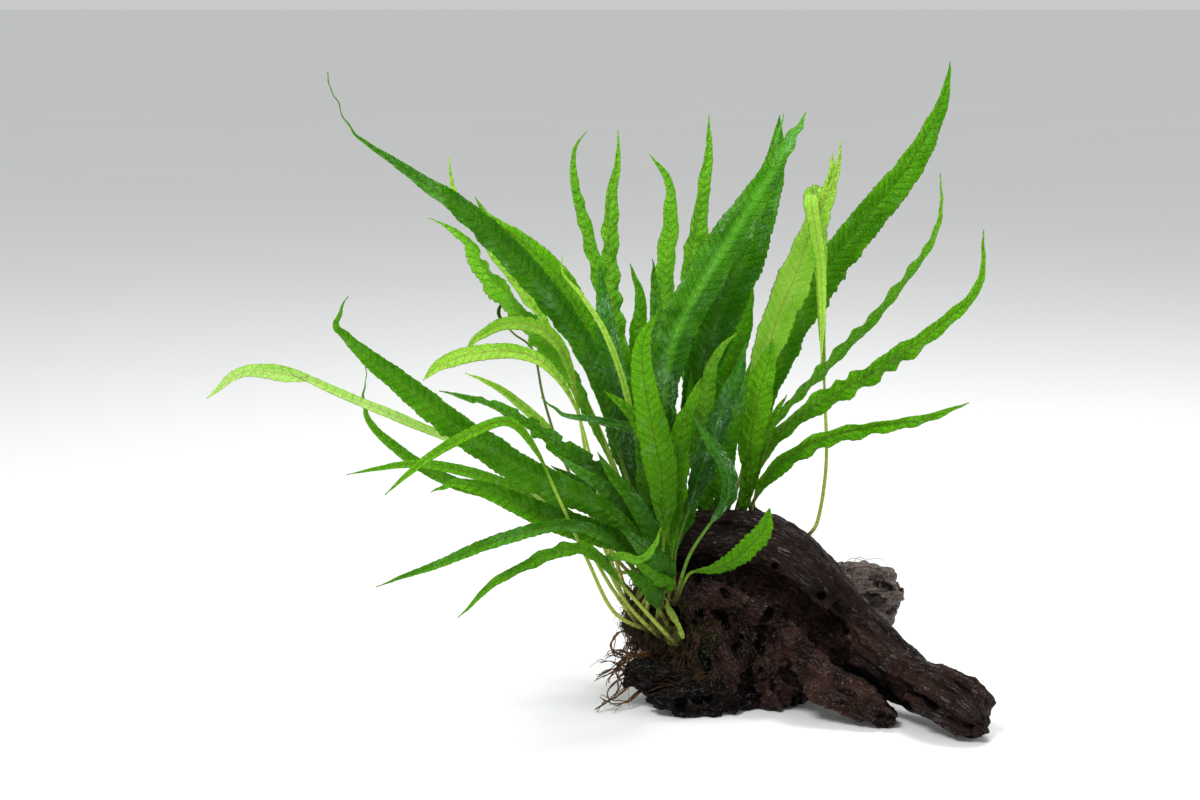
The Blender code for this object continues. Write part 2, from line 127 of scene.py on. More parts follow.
class Route:
    """A smooth line through given points."""

    def __init__(self, points: tuple) -> None:
        """Work out a fine line through the points.

        Args:
            points: Points or sections. Only the first three numbers make the line, and the
                rest change smoothly along it.
        """
        knots = np.array([tuple(p) for p in points], float)
        knots = np.vstack([2 * knots[0] - knots[1], knots, 2 * knots[-1] - knots[-2]])
        fine = []
        for a, b, c, d in zip(knots, knots[1:], knots[2:], knots[3:]):
            for step in range(ROUTE_STEPS):
                t = step / ROUTE_STEPS
                bend = 2 * b + (c - a) * t + (2 * a - 5 * b + 4 * c - d) * t * t
                fine.append((bend + (3 * b - a - 3 * c + d) * t**3) / 2)
        fine.append(knots[-2])
        self.fine = np.array(fine)
        gaps = np.linalg.norm(np.diff(self.fine[:, :3], axis=0), axis=1)
        self.reach = np.concatenate([[0.0], np.cumsum(gaps)])
        self.length = float(self.reach[-1])

    def at(self, distances: np.ndarray) -> np.ndarray:
        """The line's points, or sections, at distances along it."""
        columns = [np.interp(distances, self.reach, column) for column in self.fine.T]
        return np.stack(columns, axis=-1)

    def ways(self, distances: np.ndarray) -> np.ndarray:
        """The line's directions at distances along it."""
        step = max(self.length * 0.012, 0.4)
        ahead = self.at(np.minimum(distances + step, self.length))
        behind = self.at(np.maximum(distances - step, 0))
        return unit((ahead - behind)[:, :3])


class Noise:
    """Smooth noise that repeats exactly for a seed."""

    def __init__(self, seed: int) -> None:
        """Draw the lattice of random values."""
        draw = np.random.default_rng(seed)
        self.order = np.concatenate([draw.permutation(256)] * 3)
        self.value = draw.uniform(-1, 1, 256)

    def at(self, points: np.ndarray) -> np.ndarray:
        """Noise from -1 to 1 at points, whose lattice has a spacing of one."""
        cell = np.floor(points).astype(int)
        part = points - cell
        part = part * part * part * (part * (part * 6 - 15) + 10)
        cell &= 255
        total = np.zeros(len(points))
        for corner in range(8):
            bit = [(corner >> axis) & 1 for axis in range(3)]
            place = self.order[(cell[:, 0] + bit[0]) & 255]
            place = self.order[(place + cell[:, 1] + bit[1]) & 255]
            place = self.order[(place + cell[:, 2] + bit[2]) & 255]
            share = np.ones(len(points))
            for axis in range(3):
                share *= part[:, axis] if bit[axis] else 1 - part[:, axis]
            total += self.value[place] * share
        return total

    def fractal(self, points: np.ndarray, octaves: int = 3) -> np.ndarray:
        """Noise with finer noise on it."""
        total = np.zeros(len(points))
        for octave in range(octaves):
            total += self.at(points * 2**octave + 17.3 * octave) / 2**octave
        return total

    def along(self, distances: np.ndarray, row: float) -> np.ndarray:
        """Noise along a line, different for each row number."""
        zero = np.zeros_like(distances)
        return self.at(np.stack([distances, zero + row, zero + 0.37], axis=-1))


def loft(rings: np.ndarray) -> tuple[np.ndarray, list]:
    """Close rows of rings into one skin.

    Args:
        rings: Points, one row of points for each ring.

    Returns:
        The points, with two more for the ends, and the faces.
    """
    rows, count = rings.shape[:2]
    points = np.vstack([rings.reshape(-1, 3), rings[0].mean(0), rings[-1].mean(0)])
    start = np.arange(rows - 1)[:, None] * count
    k = np.arange(count)[None]
    n = (k + 1) % count
    quads = np.stack([start + k, start + n, start + count + n, start + count + k], axis=-1)
    faces = quads.reshape(-1, 4).tolist()
    last = (rows - 1) * count
    first_end, last_end = rows * count, rows * count + 1
    for a, b in zip(k[0], n[0]):
        faces.append([first_end, int(b), int(a)])
        faces.append([last_end, int(last + a), int(last + b)])
    return points, faces


def with_ends(values: np.ndarray) -> np.ndarray:
    """A value for each point of each ring, and one more for the middle of each end."""
    return np.concatenate([values.ravel(), values[0, :1], values[-1, :1]])


def for_rings(values: np.ndarray, count: int) -> np.ndarray:
    """One value for each ring, given to all its points and to the ends."""
    return with_ends(np.repeat(values[:, None], count, axis=1))


def make_object(name: str, points: np.ndarray, faces: list, edges: list = ()) -> bpy.types.Object:
    """A smooth mesh object from points in millimetres.

    Args:
        name: The object's name.
        points: Its points.
        faces: Its faces, as lists of point numbers.
        edges: Its loose edges.

    Returns:
        The object, linked to the scene.
    """
    mesh = bpy.data.meshes.new(name)
    mesh.from_pydata((np.asarray(points) * MM).tolist(), list(edges), faces)
    mesh.polygons.foreach_set("use_smooth", [True] * len(mesh.polygons))
    made = bpy.data.objects.new(name, mesh)
    bpy.context.scene.collection.objects.link(made)
    return made


def give(made: bpy.types.Object, name: str, values: np.ndarray) -> None:
    """Keep a number or a vector for each point of a mesh, under a name."""
    vector = np.ndim(values) == 2
    kind = "FLOAT_VECTOR" if vector else "FLOAT"
    kept = made.data.attributes.new(name, kind, "POINT")
    kept.data.foreach_set("vector" if vector else "value", np.ravel(values).astype(np.float32))


def keep_inside(made: bpy.types.Object) -> None:
    """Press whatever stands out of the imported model's box back to its sides."""
    flat = np.empty(len(made.data.vertices) * 3)
    made.data.vertices.foreach_get("co", flat)
    low, high = (np.array(corner) for corner in CAD_BOX)
    made.data.vertices.foreach_set("co", np.clip(flat.reshape(-1, 3), low, high).ravel())
    made.data.update()


def hand_in(made: bpy.types.Object, slot: str, *nodes: str) -> bpy.types.Object:
    """Give a finished piece its body, hide the solids it stands for, and report it.

    Args:
        made: The finished piece.
        slot: The material slot of the record that it takes its finish from; not used.
        *nodes: The solids it replaces.

    Returns:
        The piece.
    """
    keep_inside(made)
    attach(made, BODY)
    if nodes:
        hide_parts(*nodes)
    LOG.info("%s: %d faces, stands for %s", made.name, len(made.data.polygons), nodes or "no solid")
    return made


# ---------------------------------------------------------------- node trees


class Nodes:
    """A node tree under construction, for a material or for Geometry Nodes."""

    def __init__(self, tree: bpy.types.NodeTree) -> None:
        """Work on the given tree."""
        self.tree = tree

    def add(self, kind: str, inputs: dict | None = None, **settings: object) -> bpy.types.Node:
        """Add a node.

        Args:
            kind: The node's type.
            inputs: What each of its inputs is, a value or another node's output, by the input's
                name or number.
            **settings: The node's own settings.

        Returns:
            The node.
        """
        node = self.tree.nodes.new(kind)
        for key, value in settings.items():
            setattr(node, key, value)
        for key, value in (inputs or {}).items():
            if isinstance(value, bpy.types.NodeSocket):
                self.tree.links.new(value, node.inputs[key])
            else:
                node.inputs[key].default_value = value
        return node

    def math(self, operation: str, *values: float | Socket) -> Socket:
        """The result of a sum on numbers."""
        return self.add("ShaderNodeMath", dict(enumerate(values)), operation=operation).outputs[0]

    times = partialmethod(math, "MULTIPLY")
    plus = partialmethod(math, "ADD")
    minus = partialmethod(math, "SUBTRACT")
    rest = partialmethod(math, "SUBTRACT", 1.0)  # what a share leaves of one
    size = partialmethod(math, "ABSOLUTE")

    def vector(self, operation: str, *values: tuple | Socket) -> Socket:
        """The result of a sum on vectors."""
        node = self.add("ShaderNodeVectorMath", dict(enumerate(values)), operation=operation)
        return node.outputs[0]

    def scaled(self, vector: Socket, by: float | Socket) -> Socket:
        """A vector times a number."""
        inputs = {0: vector, "Scale": by}
        return self.add("ShaderNodeVectorMath", inputs, operation="SCALE").outputs[0]

    def joined(self, x: float | Socket, y: float | Socket, z: float | Socket = 0.0) -> Socket:
        """A vector of three numbers."""
        return self.add("ShaderNodeCombineXYZ", {0: x, 1: y, 2: z}).outputs[0]

    def ramp(self, value: Socket, low: float, high: float) -> Socket:
        """Zero below low, one above high and smooth between."""
        inputs = {"Value": value, "From Min": low, "From Max": high}
        node = self.add("ShaderNodeMapRange", inputs, interpolation_type="SMOOTHSTEP")
        return node.outputs[0]

    def noise(self, vector: Socket, scale: float | Socket, detail: float = 2.0,
              distortion: float = 0.0) -> Socket:
        """Noise from 0 to 1."""
        inputs = {"Vector": vector, "Scale": scale, "Detail": detail, "Distortion": distortion}
        return self.add("ShaderNodeTexNoise", inputs).outputs[0]

    def cells(self, vector: Socket, scale: float | Socket, feature: str = "DISTANCE_TO_EDGE") -> Socket:
        """Distance in a pattern of cells, to the nearest edge or the nearest centre."""
        inputs = {"Vector": vector, "Scale": scale}
        return self.add("ShaderNodeTexVoronoi", inputs, feature=feature).outputs["Distance"]

    def mix(self, share: float | Socket, first: Colour | Socket, second: Colour | Socket) -> Socket:
        """One colour turning into another."""
        ends = [c if isinstance(c, bpy.types.NodeSocket) else (*c, 1) for c in (first, second)]
        inputs = {0: share, 6: ends[0], 7: ends[1]}
        return self.add("ShaderNodeMix", inputs, data_type="RGBA").outputs[2]


class Paint(Nodes):
    """A material under construction, on one principled shader."""

    def __init__(self, name: str) -> None:
        """Start the material."""
        self.material = bpy.data.materials.new(name)
        self.material.use_nodes = True
        super().__init__(self.material.node_tree)
        self.shader = self.tree.nodes["Principled BSDF"]
        self.place = self.add("ShaderNodeTexCoord").outputs["Object"]

    def kept(self, name: str, output: str = "Fac") -> Socket:
        """A number or vector kept on the mesh under a name."""
        return self.add("ShaderNodeAttribute", attribute_name=name).outputs[output]

    def set(self, **values: float | tuple) -> None:
        """Set sockets of the shader that are the same all over, named with underscores."""
        for key, value in values.items():
            self.shader.inputs[key.replace("_", " ")].default_value = value

    def feed(self, socket: str, source: Socket) -> None:
        """Feed a socket of the shader."""
        self.tree.links.new(source, self.shader.inputs[socket])

    def bump(self, height: Socket, depth: float, strength: float) -> None:
        """Raise the surface by a height from 0 to 1 times a depth in metres."""
        inputs = {"Height": height, "Distance": depth, "Strength": strength}
        self.feed("Normal", self.add("ShaderNodeBump", inputs).outputs[0])


class Growth(Nodes):
    """A Geometry Nodes tree under construction, with named inputs."""

    def __init__(self, name: str) -> None:
        """Start the tree with a geometry input, a material input and a geometry output."""
        super().__init__(bpy.data.node_groups.new(name, "GeometryNodeTree"))
        face = self.tree.interface
        face.new_socket("Geometry", in_out="OUTPUT", socket_type="NodeSocketGeometry")
        self.source = self.add("NodeGroupInput")
        self.geometry = self.entry("Geometry", "NodeSocketGeometry")
        self.finish = self.entry("Material", "NodeSocketMaterial")

    def entry(self, name: str, kind: str = "NodeSocketFloat") -> Socket:
        """A new named input of the tree."""
        self.tree.interface.new_socket(name, in_out="INPUT", socket_type=kind)
        return self.source.outputs[name]

    def kept(self, name: str, data_type: str = "FLOAT") -> Socket:
        """A number or vector kept on the mesh under a name."""
        node = self.add("GeometryNodeInputNamedAttribute", {"Name": name}, data_type=data_type)
        return node.outputs[0]

    def close(self, geometry: Socket) -> bpy.types.NodeTree:
        """End the tree: smooth, realized and dressed in the material."""
        smooth = self.add("GeometryNodeSetShadeSmooth", {"Geometry": geometry}).outputs[0]
        real = self.add("GeometryNodeRealizeInstances", {"Geometry": smooth}).outputs[0]
        inputs = {"Geometry": real, "Material": self.finish}
        dressed = self.add("GeometryNodeSetMaterial", inputs).outputs[0]
        end = self.add("NodeGroupOutput")
        self.tree.links.new(dressed, end.inputs[0])
        return self.tree


def grow(base: bpy.types.Object, tree: bpy.types.NodeTree, finish: bpy.types.Material,
         **sizes: float) -> bpy.types.Object:
    """Run a Geometry Nodes tree on an object and keep the result as its plain mesh.

    Args:
        base: The object that the tree works on.
        tree: The tree.
        finish: The material of what grows.
        **sizes: The tree's named inputs, with underscores for spaces.

    Returns:
        The same object, with the new mesh and no modifier.
    """
    modifier = base.modifiers.new("grow", "NODES")
    modifier.node_group = tree
    wanted = {key.replace("_", " "): value for key, value in sizes.items()}
    wanted["Material"] = finish
    for item in tree.interface.items_tree:
        if item.in_out == "INPUT" and item.name in wanted:
            modifier[item.identifier] = wanted[item.name]
    ready = base.evaluated_get(bpy.context.evaluated_depsgraph_get())
    old = base.data
    base.data = bpy.data.meshes.new_from_object(ready)
    base.data.name = base.name
    base.modifiers.clear()
    bpy.data.meshes.remove(old)
    return base


def strand_tree() -> bpy.types.NodeTree:
    """A tree that turns loose lines into tubes, as thick as each point says."""
    tree = Growth("strands")
    sides = tree.entry("Sides", "NodeSocketInt")
    curve = tree.add("GeometryNodeMeshToCurve", {"Mesh": tree.geometry}).outputs[0]
    ring = tree.add("GeometryNodeCurvePrimitiveCircle", {"Resolution": sides, "Radius": 1.0})
    tube = tree.add("GeometryNodeCurveToMesh", {
        "Curve": curve, "Profile Curve": ring.outputs[0], "Scale": tree.kept("thick"),
        "Fill Caps": True})
    return tree.close(tube.outputs[0])


def tuft_tree() -> bpy.types.NodeTree:
    """A tree that plants small pointed spikes on a surface, where the surface has fuzz."""
    tree = Growth("tufts")
    density, length, width, lean = map(tree.entry, ("Density", "Length", "Width", "Lean"))
    seed = tree.entry("Seed", "NodeSocketInt")
    spike = tree.add("GeometryNodeMeshCone", {
        "Vertices": 4, "Radius Bottom": width, "Depth": length}).outputs[0]
    crowd = tree.times(density, tree.kept("fuzz"))
    spread = tree.add("GeometryNodeDistributePointsOnFaces", {
        "Mesh": tree.geometry, "Density": crowd, "Seed": seed})
    low = tree.joined(tree.times(lean, -1.0), tree.times(lean, -1.0), -3.0)
    high = tree.joined(lean, lean, 3.0)
    tilt = tree.add("FunctionNodeRandomValue", {0: low, 1: high, "Seed": seed},
                    data_type="FLOAT_VECTOR").outputs[0]
    tilt = tree.add("FunctionNodeEulerToRotation", {0: tilt}).outputs[0]
    turn = tree.add("FunctionNodeRotateRotation", {
        "Rotation": spread.outputs["Rotation"], "Rotate By": tilt}, rotation_space="LOCAL")
    size = tree.add("FunctionNodeRandomValue", {2: 0.5, 3: 1.3, "Seed": seed}).outputs[1]
    planted = tree.add("GeometryNodeInstanceOnPoints", {
        "Points": spread.outputs["Points"], "Instance": spike, "Rotation": turn.outputs[0],
        "Scale": tree.joined(1.0, 1.0, size)})
    return tree.close(planted.outputs[0])


def blade_tree() -> bpy.types.NodeTree:
    """A tree that puckers a blade between its side veins and lifts the veins."""
    tree = Growth("blade_relief")
    pucker, lift, pitch, seed = map(tree.entry, ("Pucker", "Vein Lift", "Vein Pitch", "Seed"))
    side = tree.times(tree.kept("across"), tree.kept("half"))
    along = tree.kept("along")
    flesh = tree.ramp(tree.kept("blade"), 0.0, 0.12)
    free = tree.minus(1.05, tree.math("POWER", tree.size(tree.kept("across")), 6.0))
    flesh = tree.times(flesh, free)
    slant = tree.times(tree.size(side), VEIN_SLANT)
    row = tree.math("DIVIDE", tree.minus(along, slant), pitch)
    wander = tree.noise(tree.joined(along, side, seed), VEIN_WANDER, 1.0)
    row = tree.plus(row, wander)
    wave = tree.math("SINE", tree.times(row, math.tau))
    bubbles = tree.noise(tree.joined(along, side, seed), 420.0, 2.0)
    bubbles = tree.minus(bubbles, 0.5)
    rise = tree.plus(tree.times(bubbles, tree.times(pucker, 2.0)),
                     tree.times(wave, lift))
    rise = tree.times(rise, flesh)
    offset = tree.scaled(tree.kept("facing", "FLOAT_VECTOR"), rise)
    moved = tree.add("GeometryNodeSetPosition", {"Geometry": tree.geometry, "Offset": offset})
    return tree.close(moved.outputs[0])


# ---------------------------------------------------------------- finishes


@dataclass(frozen=True)
class LeafFinish:
    """The colours and the shine of one kind of frond."""

    slot: str
    deep: Colour
    fresh: Colour
    rib: Colour
    stalk: Colour = (0.40, 0.47, 0.085)
    roughness: float = 0.42
    # how strongly pale reflections of a wrinkled water film are painted on
    painted_glints: float = 0.0
    veins: float = 0.52
    painted_sheen: float = 0.10  # painted sheen: how much the band along the midrib is lightened

    def material(self) -> bpy.types.Material:
        """The finish as a material."""
        p = Paint("frond_" + self.slot)
        kept = {name: p.kept(name) for name in ("across", "along", "half", "blade", "vary", "lean")}
        side = p.times(kept["across"], kept["half"])
        far = p.size(side)
        sheet = p.joined(kept["along"], side, p.times(kept["vary"], 0.1))
        tone = p.plus(p.noise(p.place, 48.0, 3.0), p.times(kept["vary"], 0.45))
        # painted shade: the blade is coloured darker towards its foot
        tone = p.plus(tone, p.times(kept["blade"], 0.32))
        # painted light and shade: one half of the blade is coloured lighter than the other
        tone = p.plus(tone, p.minus(kept["lean"], 0.07))
        leaf = p.mix(p.ramp(tone, 0.25, 0.95), self.deep, self.fresh)
        marks = self.vein_marks(p, kept["along"], far, sheet)
        shade = tuple(c * 0.42 for c in self.deep)
        leaf = p.mix(p.times(marks, self.veins), leaf, shade)
        mottle = p.ramp(p.noise(sheet, 1500.0, 3.0), 0.5, 0.8)
        leaf = p.mix(p.times(mottle, 0.42), leaf, self.fresh)
        margin = p.ramp(p.size(kept["across"]), 0.88, 1.0)
        leaf = p.mix(p.times(margin, 0.45), leaf, shade)
        rib = p.rest(p.ramp(far, 0.00025, 0.0008))
        rib = p.times(rib, p.minus(0.9, p.times(kept["blade"], 0.55)))
        leaf = p.mix(rib, leaf, self.rib)
        # painted sheen: a lighter band along the midrib
        band = p.rest(p.ramp(far, 0.0008, 0.0035))
        shine = tuple(min(c * 1.5 + 0.02, 1) for c in self.fresh)
        leaf = p.mix(p.times(band, self.painted_sheen), leaf, shine)
        if self.painted_glints:
            # painted reflection: pale streaks where the wrinkled water film would catch the lamps
            leaf = p.mix(self.film(p, sheet), leaf, (0.30, 0.50, 0.30))
        heart = p.vector("SUBTRACT", p.place, HEART)
        heart = p.add("ShaderNodeVectorMath", {0: heart}, operation="LENGTH").outputs["Value"]
        heart = p.rest(p.ramp(heart, *HEART_SHADE))
        leaf = p.mix(p.times(heart, 0.62), leaf, tuple(c * 0.30 for c in self.deep))
        base = p.rest(p.ramp(kept["blade"], -0.05, 0.13))
        leaf = p.mix(base, leaf, self.stalk_colour(p, kept["along"], sheet))
        p.feed("Base Color", leaf)
        dull = p.times(p.noise(p.place, 260.0, 3.0), 0.3)
        p.feed("Roughness", p.plus(dull, self.roughness - 0.15))
        height = p.plus(p.times(marks, -0.5), p.noise(sheet, 900.0, 3.0))
        p.bump(height, 0.0009, 0.9)
        gloss = p.ramp(p.noise(sheet, 170.0, 3.0), 0.55, 0.74)
        p.feed("Specular IOR Level", p.plus(p.times(gloss, 0.3), 0.05))
        p.set(Subsurface_Weight=0.35, Subsurface_Scale=0.0009, Subsurface_Radius=(0.5, 1.0, 0.15))
        return p.material

    def film(self, p: Paint, sheet: Socket) -> Socket:
        """Where pale reflections of the wrinkled film of water are painted, from 0 to 1."""
        long = p.vector("MULTIPLY", sheet, (0.38, 1.0, 1.0))
        wrinkle = p.size(p.minus(p.noise(long, 330.0, 2.0, 1.6), 0.5))
        wrinkle = p.rest(p.ramp(wrinkle, 0.005, 0.032))
        patch = p.ramp(p.noise(long, 110.0, 3.0), 0.44, 0.62)
        share = p.times(patch, p.plus(p.times(wrinkle, 0.95), 0.05))
        return p.times(share, self.painted_glints)

    def vein_marks(self, p: Paint, along: Socket, far: Socket, sheet: Socket) -> Socket:
        """Where the slanting side veins and the net between them show, from 0 to 1."""
        row = p.math("DIVIDE", p.minus(along, p.times(far, VEIN_SLANT)), VEIN_PITCH)
        row = p.plus(row, p.noise(sheet, VEIN_WANDER, 1.0))
        line = p.size(p.minus(p.math("FRACT", row), 0.5))
        line = p.ramp(line, 0.40, 0.5)
        net = p.rest(p.ramp(p.cells(sheet, 620.0), 0.02, 0.16))
        return p.math("MAXIMUM", line, p.times(net, 0.6))

    def stalk_colour(self, p: Paint, along: Socket, sheet: Socket) -> Socket:
        """The stalk's colour, with brown flecks towards its foot."""
        foot = p.rest(p.ramp(along, 0.0, 0.05))
        fleck = p.ramp(p.noise(sheet, 620.0, 3.0), 0.5, 0.68)
        share = p.times(fleck, p.plus(p.times(foot, 0.6), 0.12))
        green = tuple(c * 0.5 + d * 0.5 for c, d in zip(self.stalk, self.fresh))
        body = p.mix(p.ramp(along, 0.02, 0.1), self.stalk, green)
        body = p.mix(share, body, (0.09, 0.05, 0.02))
        return p.mix(p.ramp(along, 0.003, 0.018), (0.045, 0.035, 0.012), body)


class Tone(Enum):
    """The kinds of frond by colour."""

    LIME = LeafFinish("lime", (0.21, 0.52, 0.022), (0.42, 0.74, 0.085), (0.30, 0.36, 0.05), veins=0.25)
    PALE = LeafFinish("lime", (0.30, 0.62, 0.075), (0.50, 0.78, 0.20), (0.42, 0.55, 0.12), veins=0.15)
    LIGHT = LeafFinish("light", (0.090, 0.33, 0.008), (0.20, 0.51, 0.024), (0.20, 0.42, 0.03))
    BRIGHT = LeafFinish("bright", (0.060, 0.25, 0.002), (0.15, 0.44, 0.008), (0.10, 0.16, 0.012))
    YOUNG = LeafFinish("bright", (0.045, 0.19, 0.001), (0.12, 0.37, 0.006), (0.075, 0.12, 0.01),
                       stalk=(0.15, 0.29, 0.02))
    MID = LeafFinish("mid", (0.042, 0.18, 0.002), (0.12, 0.38, 0.008), (0.09, 0.22, 0.012))
    DARK = LeafFinish("dark", (0.026, 0.125, 0.002), (0.080, 0.30, 0.006), (0.06, 0.13, 0.01),
                      stalk=(0.26, 0.34, 0.05), roughness=0.38, painted_glints=0.3)
    WET = LeafFinish("wet", (0.014, 0.080, 0.005), (0.060, 0.25, 0.014), (0.09, 0.26, 0.03),
                     stalk=(0.12, 0.24, 0.03), roughness=0.32, painted_glints=1.0)
    GLOSSY = LeafFinish("wet", (0.022, 0.115, 0.004), (0.085, 0.31, 0.010), (0.16, 0.36, 0.05),
                        roughness=0.34, painted_glints=0.7, painted_sheen=0.5)
    COIL = LeafFinish("coil", (0.035, 0.06, 0.008), (0.08, 0.14, 0.014), (0.05, 0.07, 0.01),
                      stalk=(0.26, 0.30, 0.05), veins=0.2)
    DEAD = LeafFinish("dead", (0.050, 0.022, 0.006), (0.16, 0.08, 0.015), (0.03, 0.015, 0.006),
                      stalk=(0.14, 0.075, 0.018), roughness=0.6)


@dataclass(frozen=True)
class WoodFinish:
    """The colours of soaked driftwood along its grain."""

    name: str
    dark: Colour
    brown: Colour
    red: Colour
    # colour of the light specks: dust, and partly painted glints
    dust_and_glint: Colour
    dust_and_glint_amount: float = 0.25

    def material(self) -> bpy.types.Material:
        """The finish as a material."""
        p = Paint(self.name)
        grain = p.kept("grain", "Vector")
        rough, tint, hollow_shade = (p.kept(name) for name in ("rough", "tint", "hollow_shade"))
        streak = p.plus(p.noise(grain, 420.0, 3.0), p.noise(grain, 1500.0, 2.0))
        colour = p.mix(p.ramp(streak, 0.78, 1.2), self.dark, self.brown)
        patch = p.times(p.ramp(p.noise(p.place, 75.0, 4.0), 0.35, 0.65), tint)
        colour = p.mix(patch, colour, self.red)
        # dust specks that also stand in for grey glints, partly painted highlight, kept out of the
        # painted shade in hollows
        dust_glint_spots = p.ramp(p.noise(p.place, 950.0, 4.0), 0.53, 0.68)
        dust_glint_share = p.times(dust_glint_spots, p.rest(hollow_shade))
        dust_glint_share = p.times(dust_glint_share, p.plus(p.times(rough, 1.2), 0.1))
        colour = p.mix(p.times(dust_glint_share, self.dust_and_glint_amount), colour, self.dust_and_glint)
        speck = p.rest(p.ramp(p.cells(p.place, 620.0, "F1"), 0.06, 0.14))
        colour = p.mix(p.times(speck, self.dust_and_glint_amount), colour, self.dust_and_glint)
        deep = tuple(c * 0.25 for c in self.dark)
        # painted shade: the wood is coloured much darker in its hollows, where shade falls
        colour = p.mix(p.times(hollow_shade, 0.95), colour, deep)
        p.feed("Base Color", colour)
        dull = p.plus(p.times(p.noise(p.place, 140.0, 3.0), 0.45), 0.22)
        fine = p.times(p.noise(p.place, 900.0, 4.0), p.times(rough, 2.2))
        height = p.plus(p.times(p.noise(grain, 1100.0, 4.0), 1.6), fine)
        p.bump(height, 0.0014, 1.0)
        fleck = p.times(p.ramp(p.noise(p.place, 820.0, 2.0), 0.58, 0.68), rough)
        wet = p.times(p.ramp(p.noise(p.place, 130.0, 2.0), 0.42, 0.6),
                     p.ramp(p.noise(grain, 1700.0, 4.0), 0.55, 0.64))
        glint = p.times(p.math("MAXIMUM", fleck, wet), p.rest(hollow_shade))
        p.feed("Specular IOR Level", p.plus(p.times(glint, 0.9), 0.05))
        p.feed("Roughness", p.minus(dull, p.times(glint, 0.26)))
        return p.material


@dataclass(frozen=True)
class PlainFinish:
    """A finish of two colours in patches, with grit in its surface."""

    name: str
    first: Colour
    second: Colour
    roughness: float = 0.7
    patch: float = 300.0
    grit: float = 1800.0
    depth: float = 0.0004

    def material(self) -> bpy.types.Material:
        """The finish as a material."""
        p = Paint(self.name)
        share = p.ramp(p.noise(p.place, self.patch, 4.0), 0.36, 0.64)
        colour = p.mix(share, self.first, self.second)
        dark = tuple(c * 0.35 for c in self.first)
        pore = p.ramp(p.noise(p.place, self.grit, 3.0), 0.55, 0.75)
        p.feed("Base Color", p.mix(p.times(pore, 0.6), colour, dark))
        dull = p.times(p.noise(p.place, self.patch * 2, 2.0), 0.3)
        p.feed("Roughness", p.plus(dull, self.roughness - 0.15))
        p.bump(p.noise(p.place, self.grit, 3.0), self.depth, 0.7)
        p.set(Specular_IOR_Level=0.15)
        return p.material


class Finish(Enum):
    """The finishes of everything but the fronds."""

    WOOD = WoodFinish("soaked_wood", (0.0030, 0.0019, 0.0014), (0.015, 0.0082, 0.0060),
                      (0.050, 0.021, 0.016), (0.13, 0.092, 0.080), 0.26)
    STUB = WoodFinish("weathered_wood", (0.05, 0.038, 0.033), (0.19, 0.145, 0.13),
                      (0.14, 0.09, 0.07), (0.34, 0.30, 0.28), 0.6)
    BLACK = WoodFinish("sunken_wood", (0.0025, 0.0019, 0.0016), (0.008, 0.0055, 0.0045),
                       (0.014, 0.0075, 0.0055), (0.05, 0.045, 0.042), 0.2)
    ROOT = PlainFinish("root_hair", (0.010, 0.006, 0.0035), (0.060, 0.030, 0.012), 0.65)
    RED_ROOT = PlainFinish("young_root", (0.035, 0.016, 0.007), (0.15, 0.072, 0.028), 0.6)
    MAT = PlainFinish("root_mat", (0.007, 0.005, 0.0035), (0.022, 0.014, 0.008), 0.85, 240.0, 900.0,
                      0.0012)
    RHIZOME = PlainFinish("rhizome_skin", (0.035, 0.045, 0.008), (0.13, 0.17, 0.02), 0.5, 160.0)
    OFFSHOOT = PlainFinish("offshoot_skin", (0.12, 0.20, 0.022), (0.24, 0.34, 0.045), 0.45, 120.0)
    SCALE = PlainFinish("rhizome_scale", (0.020, 0.011, 0.006), (0.06, 0.032, 0.014), 0.7)
    MOSS = PlainFinish("moss", (0.022, 0.045, 0.006), (0.10, 0.16, 0.022), 0.75)
    FUZZ = PlainFinish("stalk_fuzz", (0.10, 0.06, 0.02), (0.24, 0.16, 0.05), 0.7)
    GRIT = PlainFinish("grit", (0.16, 0.15, 0.14), (0.34, 0.33, 0.31), 0.6)


# ---------------------------------------------------------------- wood


